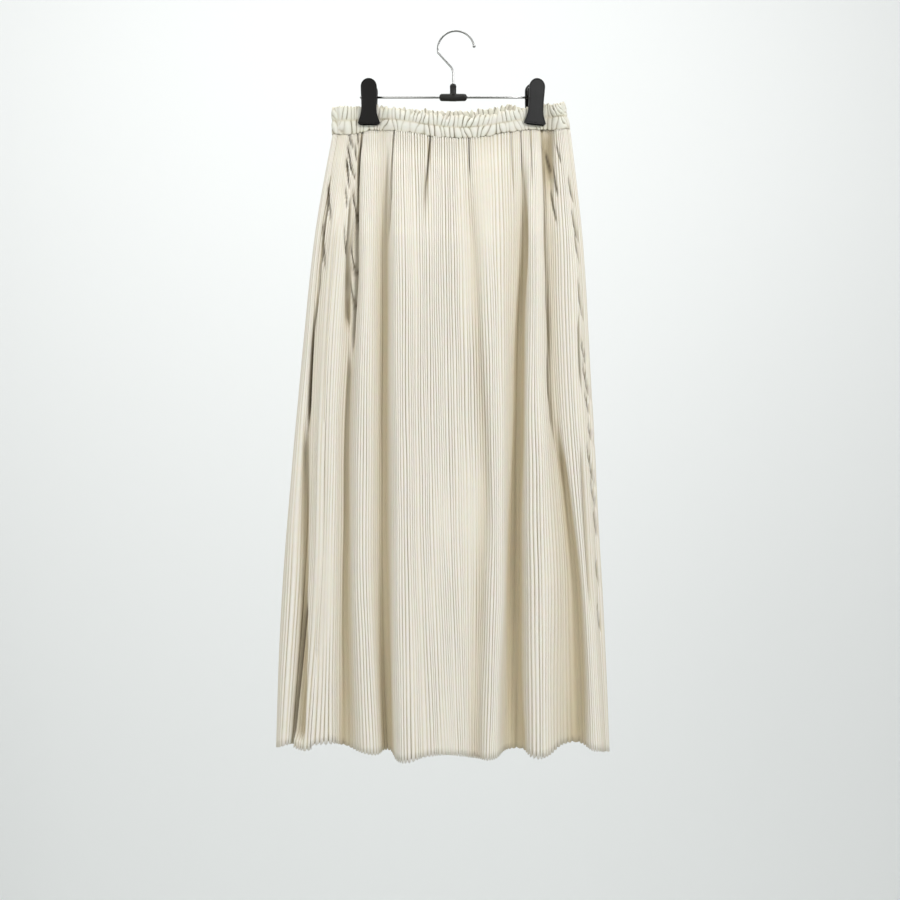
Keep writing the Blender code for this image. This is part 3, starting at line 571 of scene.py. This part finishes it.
def gridPiece(name, node, points, shades, material, wall):
    # a grid whose vertices are moved onto the rows and columns of points, given a thin wall
    rows, columns = points.shape[:2]
    bm = bmesh.new()
    bm.loops.layers.uv.new("cloth")
    bmesh.ops.create_grid(bm, x_segments=columns - 1, y_segments=rows - 1, size=0.5, calc_uvs=True)
    bm.verts.ensure_lookup_table()
    bmesh.ops.reverse_faces(bm, faces=bm.faces)
    piece = addPiece(name, bm, material, "cream_cloth", node)
    mesh = piece.data
    mesh.vertices.foreach_set("co", (points[::-1] * mm).astype(np.float32).ravel())
    for shade, values in shades.items():
        layer = mesh.attributes.new(shade, "FLOAT", "POINT")
        layer.data.foreach_set("value", values[::-1].astype(np.float32).ravel())
    mesh.update()
    shell = piece.modifiers.new("wall", "SOLIDIFY")
    shell.thickness = wall * mm
    shell.offset = 0.0
    shell.use_even_offset = False
    shell.use_rim = True
    return piece


def levelsDown(count):
    # rows lie closer together under the waist seam, where the cloth is busiest
    share = np.linspace(0, 1, count)
    return 0.7 * share + 0.3 * share**2


def patches(rng, down, across, levels, share):
    # smooth noise over the panel, one row for each level
    values = rng.uniform(-1, 1, (down, across))
    rows = [through(np.linspace(0, 1, down), values, level) for level in levels]
    return [through(np.linspace(0, 1, across), row, share) for row in rows]


def makePanel(side, first, last, seed):
    rng = np.random.default_rng(seed)
    pleats = skirt["pleats"][side]
    places = skirt["columnPlaces"]
    widths = 1 + skirt["pleatSpread"] * rng.uniform(-1, 1, pleats)
    edges = spaced(first, last, (0.1, 0.3, 0.5, 0.75, 1.0), pleats + 1, widths)
    phase = np.append((np.arange(pleats)[:, None] + places).ravel(), pleats)
    pleatEnds = np.arange(pleats + 1)
    t = np.interp(phase, pleatEnds, edges)
    # narrow valleys between rounded ridges
    wave = 2 * np.abs(np.sin(np.pi * phase)) ** skirt["sharpness"] - 1
    seamZ = waistHeight(t, "Seam") - skirt["seamGap"]
    hemZ = roundLoop(hemHeights, t)
    depth = roundLoop(pleatDepths, t)
    own = 1 + skirt["ownDepth"] * rng.uniform(-1, 1, pleats + 1)
    ownDepth = np.interp(phase, pleatEnds, own)
    share = phase / pleats
    levels = levelsDown(skirt["rows"])
    varied = patches(rng, 9, pleats // 3, levels, share)
    broad = patches(rng, 6, pleats // 9, levels, share)
    ripple = patches(rng, 9, pleats // 4, levels, share)
    wander = patches(rng, 12, pleats // 2, levels, share)
    endFade = smoothStep(np.minimum(phase, pleats - phase) / 1.5)
    perPleat = len(places)
    before, after = perPleat // 2, perPleat - perPleat // 2
    points = np.zeros((len(levels), len(t), 3))
    crest, sunkShare, slits = np.zeros((3, len(levels), len(t)))
    for r, level in enumerate(levels):
        line, outward = middleLine(level, t)
        sunk, broadSunk, slits[r] = sinkAt(level, line[:, 0], line[:, 1])
        rounded = deepestRise(line, skirt["wall"])
        line -= outward * sunk[:, None]
        sunkShare[r] = hollowAt(line + outward * (sunk - broadSunk)[:, None], outward, broadSunk)
        pitch = np.zeros(len(t))
        pitch[before:-after] = np.linalg.norm(line[perPleat:] - line[:-perPleat], axis=1)
        pitch = smoothed(pitch, 2 * perPleat)
        pitch = np.minimum(pitch, skirt["widestPitch"] * np.median(pitch))
        strength = depth * ownDepth * (1 + 0.4 * varied[r] + 0.6 * broad[r])
        strength *= 1 - skirt["hollowLoss"] * sunkShare[r]
        strength *= 1 + skirt["seamGain"] * math.exp(-level / 0.1)
        strength = np.clip(strength, skirt["leastDepth"], skirt["mostDepth"])
        rise = skirt["pleatRise"] * pitch * strength * squeeze(line[:, 0], level)
        rise = np.minimum(rise, smoothed(rounded, perPleat))
        fromSeam = min(1.0, level / 0.1)
        shift = wave * rise * endFade + skirt["ripple"] * ripple[r] * fromSeam * endFade
        aside = skirt["wander"] * wander[r] * fromSeam * endFade
        along = np.column_stack((-outward[:, 1], outward[:, 0]))
        points[r, :, :2] = line + outward * shift[:, None] + along * aside[:, None]
        lowest = smoothStep((level - skirt["scallopFrom"]) / (1 - skirt["scallopFrom"]))
        hung = skirt["scallop"] * wave * strength * endFade * lowest
        points[r, :, 2] = seamZ + (hemZ - seamZ) * level - hung
        # painted shade and highlight: the crest mask follows the pleat wave, with extra painted shade just
        # under the waist seam
        shaded = skirt["seamShade"] * math.exp(-level / 0.12)
        crest[r] = 0.5 + 0.5 * wave * np.minimum(strength, 1.0) - shaded
    shades = {"crest": crest, "hollow": sunkShare, "slitShade": 0.9 * slits}
    return gridPiece(side + "Panel", "skirt_" + side, points, shades, panelCloth, skirt["wall"])


panelCloth = makeCloth("pleatedCrepe", clothFinish, 1.05, 0.86)
frontPanel = makePanel("front", leftSeam, rightSeam, skirt["seed"])
backPanel = makePanel("back", rightSeam, len(foldRows), skirt["seed"] + 1)
print("pleated panels made")


band = {
    "columns": 640, "outerRows": 20, "foldRows": 6, "innerRows": 10, "thick": 2.2, "clothWall": 0.6,
    "lowerGathers": 44, "upperGathers": 54, "lowerDepth": 2.4, "upperDepth": 2.8, "topRuffle": 12.0,
    "footScallop": 2.4, "lean": 17, "lowLean": 16, "middleShade": 0.4, "shadeRise": 0.28,
    "innerShare": 0.45, "seed": 5,
}
stitch = {"every": 2.6, "length": 2.0, "thick": 0.5, "proud": -0.05}
# the band's right end leans in towards its top: how far, and between which x
endLean = {"far": 8.0, "from": 128.0, "to": 157.0}
# share of the band's height, and how far it swells there
swellShares = (0.0, 0.07, 0.25, 0.42, 0.5, 0.58, 0.78, 0.94, 1.0)
swellHeights = (-0.5, 0.2, 0.9, 0.5, -0.5, 0.3, 0.8, 0.4, -0.2)


def gatherPhase(rng, count, columns):
    widths = 1 + 0.45 * rng.uniform(-1, 1, count)
    edges = np.concatenate(([0.0], np.cumsum(widths))) / widths.sum()
    return np.interp(np.linspace(0, 1, columns + 1), edges, np.arange(count + 1))


def puff(phase, sharpness):
    # rounded between creases: 1 on a gather's crown and 0 in the crease beside it
    return np.abs(np.sin(np.pi * phase)) ** sharpness


def perGather(rng, phase, low, high):
    # a value for each gather, blended between them
    edges = np.arange(round(phase[-1]) + 1)
    return np.interp(phase, edges, rng.uniform(low, high, len(edges)))


def leanIn(line, share):
    moved = line.copy()
    across = (line[:, 0] - endLean["from"]) / (endLean["to"] - endLean["from"])
    moved[:, 0] -= endLean["far"] * share * np.clip(across, 0, 1)
    return moved


def makeBand(side, first, last, seed):
    rng = np.random.default_rng(seed)
    columns = band["columns"]
    even = spaced(first, last, (0.0,), columns + 1)
    lower = gatherPhase(rng, band["lowerGathers"], columns)
    upper = gatherPhase(rng, band["upperGathers"], columns)
    lowerSize = perGather(rng, lower, 0.3, 1.35)
    upperSize = perGather(rng, upper, 0.35, 1.35)
    # where along its height a crease is deepest
    lowerHeart = perGather(rng, lower, 0.05, 0.5)
    upperHeart = perGather(rng, upper, 0.55, 1.0)
    lean = smoothed(rng.uniform(-1, 1, columns + 1), 70) * band["lean"]
    lowLean = smoothed(rng.uniform(-1, 1, columns + 1), 60) * band["lowLean"]
    topNotch = smoothed(rng.uniform(-1, 1, columns + 1), 8) * band["topRuffle"]
    count = np.arange(columns + 1)
    endFade = smoothStep(np.minimum(count, columns - count) / 10)
    line, outward = middleLine(0.0, even)
    seamZ = waistHeight(even, "Seam")
    topZ = waistHeight(even, "Top")
    kept = squeeze(line[:, 0], 0.0) * endFade
    dipped = hollowAt(line, outward, np.zeros(columns + 1))
    drop = perGather(rng, lower, -1.3, 1.0)
    pinch = perGather(rng, lower, 0.3, 1.3)

    def gathered(share):
        # the two tiers' puffs at a share of the height, and which of the two is there
        below = smoothStep((0.54 - share) / 0.08)
        low = puff(lower + lowLean * (share - 0.3), 0.5)
        high = puff(upper + lean * (share - 0.75), 0.5)
        return low, high, below

    def surface(share):
        swell = np.interp(share, swellShares, swellHeights)
        swell = np.where(swell < 0, swell * pinch, swell)
        low, high, below = gathered(share)
        low = band["lowerDepth"] * lowerSize * (low - 0.75)
        low *= 0.5 + 0.5 * bell((share - lowerHeart) / 0.3)
        high = band["upperDepth"] * upperSize * (high - 0.72)
        high *= 0.35 + 0.65 * bell((share - upperHeart) / 0.25)
        high *= smoothStep((share - 0.49) / 0.1)
        return swell + low * below + high * (1 - below)

    def shutAt(share):
        # painted shade: 1 in the creases between gathers and along the seam between the tiers, where a dark
        # shade is painted in
        low, high, below = gathered(share)
        lowShut = np.clip(1.3 - low / 0.55, 0, 1) * (lowerSize - 0.1)
        highShut = np.clip(1.3 - high / 0.55, 0, 1) * (upperSize - 0.05)
        seamed = 0.9 * bell((share - 0.5) / 0.03) * (pinch - 0.8)
        return np.clip(lowShut * below + highShut * (1 - below) + seamed, 0, 1) * endFade

    rows, crests, slits = [], [], []
    height = topZ - seamZ
    half = band["thick"] / 2

    def addRow(out, z, share, raised):
        rows.append(np.column_stack((leanIn(line, share) + outward * out[:, None], z)))
        # painted highlight on the puffs and painted shade in the creases, from how far the band's face stands
        # out; the inside gets the middle shade
        crests.append(np.clip(band["middleShade"] + raised * band["shadeRise"], 0, 1))
        slits.append(shutAt(share))

    def ruffle(share):
        return topNotch * endFade * smoothStep((share - 0.6) / 0.4) * 0.5

    top = surface(1.0) * kept
    for share in np.linspace(0, 1, band["outerRows"], endpoint=False):
        foot = band["footScallop"] * (gathered(share)[0] - 0.7) - drop
        ruffled = ruffle(share) - foot * endFade * smoothStep((0.25 - share) / 0.25)
        addRow(half + surface(share) * kept, seamZ + height * share + ruffled, share, surface(share))
    for angle in np.linspace(0, math.pi, band["foldRows"]):
        out = half * math.cos(angle) + top * (0.5 + 0.5 * math.cos(angle))
        z = topZ + half * math.sin(angle) + topNotch * endFade * 0.5 + top * 0.35 * math.sin(angle)
        addRow(out, z, 1.0, top)
    for share in np.linspace(1, 0, band["innerRows"])[1:]:
        out = -half - surface(share) * kept * band["innerShare"]
        addRow(out, seamZ + height * share + ruffle(share), share, np.zeros(columns + 1))
    # painted shade: a warm tan laid in where the band's waist line dips behind the cloth beside it
    dips = np.tile(np.clip(0.06 + 1.5 * dipped, 0, 0.8), (len(rows), 1))
    shades = {"crest": np.array(crests), "hollow": dips, "slitShade": np.array(slits)}
    name = side + "Band"
    piece = gridPiece(name, "waistband_" + side, np.array(rows), shades, bandCloth, band["clothWall"])
    makeStitches(name + "Stitching", line, outward, seamZ + 0.5 * height, half + surface(0.5) * kept)
    return piece


def makeStitches(name, line, outward, z, out):
    # the seam that parts the two tiers, one small thread loop for each stitch
    bm = bmesh.new()
    places = leanIn(line, 0.5) + outward * (out + band["clothWall"] / 2 + stitch["proud"])[:, None]
    reach = np.concatenate(([0.0], np.cumsum(np.linalg.norm(np.diff(places, axis=0), axis=1))))
    for stop in np.arange(2.0, reach[-1] - 2.0, stitch["every"]):
        x, y, height = (np.interp(stop, reach, values) for values in (places[:, 0], places[:, 1], z))
        ahead = [np.interp(stop + 0.8, reach, places[:, k]) - now for k, now in ((0, x), (1, y))]
        turn = Matrix.Rotation(math.atan2(ahead[1], ahead[0]), 4, "Z")
        shape = Matrix.Diagonal((stitch["length"] / 2, stitch["thick"] / 2, stitch["thick"] / 2, 1.0))
        matrix = Matrix.Scale(mm, 4) @ Matrix.Translation((x, y, height)) @ turn @ shape
        bmesh.ops.create_icosphere(bm, subdivisions=1, radius=1.0, matrix=matrix)
    addPiece(name, bm, sewingThread, "cream_cloth")


def makeThread(name):
    # Twisted polyester sewing thread: a cream a little deeper than the cloth, with a slight gloss
    material, shader = startMaterial(name, "d9cdb2", 0.55)
    place = addNode(material, "TexCoord", {}).outputs["Object"]
    plies = {"bands_direction": "DIAGONAL", "Scale": 700.0, "Distortion": 0.5, "Vector": place}
    twist = addNode(material, "TexWave", plies)
    return endMaterial(material, shader, 0.3, 0.1, twist.outputs["Fac"])


sewingThread = makeThread("sewingThread")
bandCloth = makeCloth("gatheredCrepe", bandFinish, 0.34, 0.07)
frontBand = makeBand("front", leftSeam, rightSeam, band["seed"])
backBand = makeBand("back", rightSeam, len(foldRows), band["seed"] + 1)
print("gathered band made")

chrome = makeSteel("chromeWire", steelFinish["chrome"], 0.22)
springSteel = makeSteel("springSteel", steelFinish["spring"], 0.3)
centrePlastic = makePlastic("mouldedPlastic", plasticFinish["black"], plasticFinish["worn"])

hook = {
    "wire": 2.6, "radius": 25.2, "tip": 13, "lower": 192, "steps": 60, "ball": 4.2, "ballEnd": 172,
    "stemX": -4.0, "neckZ": -56.0, "footZ": -84.0,
}


def wirePiece(name, node, places, radii):
    # a round wire swept along places, given its own radius at each
    curve = bpy.data.curves.new(name, "CURVE")
    curve.dimensions = "3D"
    curve.bevel_depth = mm
    curve.bevel_resolution = 5
    curve.use_fill_caps = True
    spline = curve.splines.new("POLY")
    spline.points.add(len(places) - 1)
    for point, place, radius in zip(spline.points, places, radii):
        point.co = (*(Vector(place) * mm), 1.0)
        point.radius = radius
    maker = bpy.data.objects.new(name + "Maker", curve)
    scene.collection.objects.link(maker)
    shaped = maker.evaluated_get(bpy.context.evaluated_depsgraph_get())
    bm = bmesh.new()
    bm.from_mesh(bpy.data.meshes.new_from_object(shaped))
    bpy.data.objects.remove(maker)
    addPiece(name, bm, chrome, "polished_steel", node)


def hookPlaces():
    centreZ = hook["wire"] / 2 - hook["radius"]

    def onArc(degrees):
        angle = math.radians(degrees)
        return Vector((hook["radius"] * math.cos(angle), 0, centreZ + hook["radius"] * math.sin(angle)))

    span = hook["lower"] - hook["tip"]
    arc = [onArc(hook["lower"] - span * k / hook["steps"]) for k in range(hook["steps"] + 1)]
    shoulder = Vector((hook["stemX"] - 2.5, 0, hook["neckZ"] + 7))
    neck = Vector((hook["stemX"], 0, hook["neckZ"]))
    foot = Vector((hook["stemX"], 0, hook["footZ"]))
    middle = shoulder.lerp(neck, 0.5) + Vector((0.4, 0, 0))
    stem = [foot, neck, middle, shoulder, arc[0].lerp(shoulder, 0.6), arc[0].lerp(shoulder, 0.3)]
    places = stem + arc
    radii = [hook["wire"] / 2] * len(places)
    start = math.asin(hook["wire"] / hook["ball"])
    ahead = (arc[-1] - arc[-2]).normalized()
    for k in range(1, 11):
        angle = start + (math.radians(hook["ballEnd"]) - start) * k / 10
        places.append(arc[-1] + ahead * hook["ball"] / 2 * (math.cos(start) - math.cos(angle)))
        radii.append(hook["ball"] / 2 * math.sin(angle))
    return places, radii


wirePiece("hookWire", "hook", *hookPlaces())

bar = {"thick": 3.0, "z": -90.6, "left": -132.8, "right": 120.0, "chamfer": 0.5}
barEnds = (bar["left"], bar["left"] + bar["chamfer"], bar["right"] - bar["chamfer"], bar["right"])
barPlaces = [(x, 0, bar["z"]) for x in barEnds]
barRadii = [bar["thick"] / 2 - cut for cut in (bar["chamfer"], 0, 0, bar["chamfer"])]
wirePiece("hangerBar", "bar", barPlaces, barRadii)

tee = {
    "length": 38.0, "thick": 9.8, "stem": 8.7, "stemTop": -72.2, "steps": 40,
    "endRound": 3.6, "topRound": 2.4,
}


def turned(bm, profile, matrix):
    # spins a profile of (radius, height) pairs about z
    first = len(bm.verts)
    bm.verts.ensure_lookup_table()
    verts = [bm.verts.new((radius, 0, height)) for radius, height in profile]
    edges = [bm.edges.new(pair) for pair in zip(verts, verts[1:])]
    bmesh.ops.spin(
        bm, geom=verts + edges, axis=(0, 0, 1), angle=2 * math.pi, steps=tee["steps"], use_merge=True
    )
    bm.verts.ensure_lookup_table()
    bmesh.ops.transform(bm, matrix=matrix, verts=bm.verts[first:])


def makeTee():
    bm = bmesh.new()
    r = tee["thick"] / 2
    half = tee["length"] / 2
    bore = bar["thick"] / 2 + 0.1
    end = tee["endRound"]
    quarter = np.linspace(0.1, math.pi / 2, 8)
    profile = [(bore, -half + 0.4), (bore + 0.5, -half)]
    profile += [(r - end + end * math.sin(a), -half + end - end * math.cos(a)) for a in quarter]
    profile += [(r + 0.15, -4.8), (r + 0.35, -4.4), (r + 0.35, 4.4), (r + 0.15, 4.8)]
    profile += [(r - end + end * math.sin(a), half - end + end * math.cos(a)) for a in quarter[::-1]]
    profile += [(bore + 0.5, half), (bore, half - 0.4)]
    lying = Matrix.Translation((hook["stemX"], 0, bar["z"])) @ Matrix.Rotation(math.pi / 2, 4, "Y")
    turned(bm, profile, lying)
    s = tee["stem"] / 2
    top = tee["stemTop"] - bar["z"]
    wire = hook["wire"] / 2 + 0.05
    # a flared foot, then a raised ring below the rounded top
    stemProfile = [(s + 0.9, r - 1.6), (s + 0.35, r - 0.4), (s, r + 1.0)]
    stemProfile += [(s, top - 4.4), (s + 0.25, top - 4.1), (s + 0.25, top - 3.2), (s, top - 2.9)]
    end = tee["topRound"]
    quarter = np.linspace(0, math.pi / 2, 6)
    stemProfile += [(s - end + end * math.cos(a), top - end + end * math.sin(a)) for a in quarter]
    stemProfile += [(wire + 0.4, top), (wire, top - 0.4), (wire, top - 3.0)]
    turned(bm, stemProfile, Matrix.Translation((hook["stemX"], 0, bar["z"])))
    bmesh.ops.remove_doubles(bm, verts=bm.verts, dist=0.001)
    bmesh.ops.recalc_face_normals(bm, faces=bm.faces)
    bmesh.ops.transform(bm, matrix=Matrix.Scale(mm, 4), verts=bm.verts)
    addPiece("centreTee", bm, centrePlastic, "black_plastic", "centre_tee")


makeTee()

jaw = {
    "topZ": -68.0, "height": 61.5, "plate": 3.5, "inner": 4.8, "lean": 4.6, "rounding": 0.7,
    "bossWidth": 9.0, "bossHeight": 7.0, "bossRounding": 0.8,
}
# a jaw's outline from its top: drop and half width
jawEdges = (
    (11.0, 11.0), (18, 10.85), (24, 10.7), (31, 10.45), (38, 10.3), (42, 10.45), (46, 10.9), (49, 11.6),
    (52, 12.5), (55, 13.6), (57, 14.3), (58.6, 14.8), (59.8, 14.9), (60.8, 14.7), (61.5, 14.0),
)
# a raised rim, a shallow step inside it, and a slightly sunk face: how far in, and how deep
jawInsets = ((1.5, 0.0), (0.45, -0.4), (0.6, 0.0))


def clipMatrix(clip):
    onBar = Vector((0, 0, bar["z"]))
    swung = Matrix.Translation((clip["x"], 0, 0)) @ Matrix.Rotation(math.radians(clip["turn"]), 4, "Z")
    tilted = Matrix.Rotation(math.radians(clip["tilt"]), 4, "Y")
    return swung @ Matrix.Translation(onBar) @ tilted @ Matrix.Translation(-onBar)


def jawOutline():
    drop, width = jawEdges[0]
    angles = (math.pi / 2 * k / 12 for k in range(1, 12))
    right = [(width * math.sin(a), drop * (1 - math.cos(a))) for a in angles]
    right += [(halfWidth, drop) for drop, halfWidth in jawEdges]
    return [(0.0, 0.0)] + right + [(-x, drop) for x, drop in reversed(right)]


def makeJaw(clip, side, material):
    bm = bmesh.new()
    lean = math.tan(math.radians(jaw["lean"]))
    ring = [
        bm.verts.new((x, side * (jaw["inner"] + (jaw["height"] - drop) * lean), jaw["topZ"] - drop))
        for x, drop in jawOutline()
    ]
    face = bm.faces.new(ring)
    pushed = bmesh.ops.extrude_face_region(bm, geom=[face])["geom"]
    outer = [item for item in pushed if isinstance(item, bmesh.types.BMVert)]
    bmesh.ops.translate(bm, vec=(0, side * jaw["plate"], 0), verts=outer)
    shown = [item for item in pushed if isinstance(item, bmesh.types.BMFace)]
    bmesh.ops.recalc_face_normals(bm, faces=bm.faces)
    for thickness, depth in jawInsets:
        bmesh.ops.inset_region(bm, faces=shown, thickness=thickness, depth=depth, use_even_offset=True)
    bmesh.ops.transform(bm, matrix=Matrix.Scale(mm, 4) @ clipMatrix(clip), verts=bm.verts)
    end = "Front" if side < 0 else "Rear"
    node = "clip_{}_{}_jaw".format(clip["name"], end).lower()
    piece = addPiece("clip" + clip["name"] + end + "Jaw", bm, material, "black_plastic", node)
    rounding = piece.modifiers.new("rounding", "BEVEL")
    rounding.width = jaw["rounding"] * mm
    rounding.segments = 3
    rounding.limit_method = "ANGLE"
    rounding.angle_limit = math.radians(40)
    rounding.harden_normals = True


def makeBoss(clip, side, material):
    # the lug that holds a jaw to the bar, with rounded corners
    turn = math.radians(clip["turn"])
    seat = (bar["thick"] / 2 + 0.3 + jaw["bossWidth"] / 2 * math.sin(turn)) / math.cos(turn)
    lean = math.tan(math.radians(jaw["lean"]))
    reach = jaw["inner"] + (bar["z"] - jaw["topZ"] + jaw["height"]) * lean + jaw["plate"] / 2
    bm = bmesh.new()
    bmesh.ops.create_cube(bm, size=1.0)
    size = Matrix.Diagonal((jaw["bossWidth"], reach - seat, jaw["bossHeight"], 1.0))
    middle = Matrix.Translation((0, side * (seat + reach) / 2, bar["z"]))
    bmesh.ops.transform(bm, matrix=middle @ size, verts=bm.verts)
    bmesh.ops.bevel(
        bm, geom=bm.edges, offset=jaw["bossRounding"], segments=3, profile=0.5, affect="EDGES", material=-1
    )
    bmesh.ops.transform(bm, matrix=Matrix.Scale(mm, 4) @ clipMatrix(clip), verts=bm.verts)
    name = "clip" + clip["name"] + ("FrontLug" if side < 0 else "RearLug")
    addPiece(name, bm, material, "black_plastic")


for clip in clips:
    plastic = makePlastic("clipPlastic" + clip["name"], clip["black"], clip["worn"])
    for side in (-1, 1):
        makeJaw(clip, side, plastic)
        makeBoss(clip, side, plastic)
    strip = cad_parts["clip_{}_spring".format(clip["name"].lower())]
    for materialSlot in strip.material_slots:
        materialSlot.material = springSteel
print("hanger made")


studio = {
    "floorZ": -3.0, "halfWidth": 4.5, "near": -4.0, "far": 3.2, "bend": 0.5, "top": 3.2,
    "paint": "eef0ef", "sky": "f4f6f5", "worldStrength": 0.44,
}


def makeSweep():
    # floor that curves up into a far backdrop, from one row of points pushed sideways
    bm = bmesh.new()
    floor, bend = studio["floorZ"], studio["bend"]
    start = studio["far"] - bend
    profile = [(studio["near"], floor), (start, floor)]
    for a in (math.pi / 2 * k / 16 for k in range(1, 17)):
        profile.append((start + bend * math.sin(a), floor + bend * (1 - math.cos(a))))
    profile.append((studio["far"], studio["top"]))
    verts = [bm.verts.new((-studio["halfWidth"], y, z)) for y, z in profile]
    edges = [bm.edges.new(pair) for pair in zip(verts, verts[1:])]
    made = bmesh.ops.extrude_edge_only(bm, edges=edges)["geom"]
    moved = [item for item in made if isinstance(item, bmesh.types.BMVert)]
    bmesh.ops.translate(bm, vec=(2 * studio["halfWidth"], 0, 0), verts=moved)
    bmesh.ops.recalc_face_normals(bm, faces=bm.faces)
    sweep = meshObject("paleSweep", bm, startMaterial("paleFloor", studio["paint"], 0.9)[0])


def areaLight(name, place, aim, size, power, colour):
    data = bpy.data.lights.new(name, "AREA")
    data.shape = "RECTANGLE"
    data.size, data.size_y = size
    data.energy = power
    data.color = linearColour(colour)[:3]
    lamp = bpy.data.objects.new(name, data)
    lamp.location = place
    lamp.rotation_euler = (Vector(aim) - Vector(place)).to_track_quat("-Z", "Y").to_euler()
    lamp.visible_camera = False
    scene.collection.objects.link(lamp)


makeSweep()
areaLight("key", (1.9, -2.1, 0.9), (0, 0, -0.4), (0.9, 1.2), 55, "fdfdff")
areaLight("fill", (-1.6, -2.5, 0.1), (0, 0, -0.5), (1.6, 1.6), 31, "ffffff")
areaLight("wallWash", (-0.5, 0.0, 2.3), (-0.7, 3.2, -1.4), (4.0, 0.8), 91, "ffffff")

world = bpy.data.worlds.new("paleRoom")
world.use_nodes = True
sky = world.node_tree.nodes["Background"].inputs
sky["Color"].default_value = linearColour(studio["sky"])
sky["Strength"].default_value = studio["worldStrength"]
scene.world = world
scene.view_settings.view_transform = "Standard"
print("studio made")
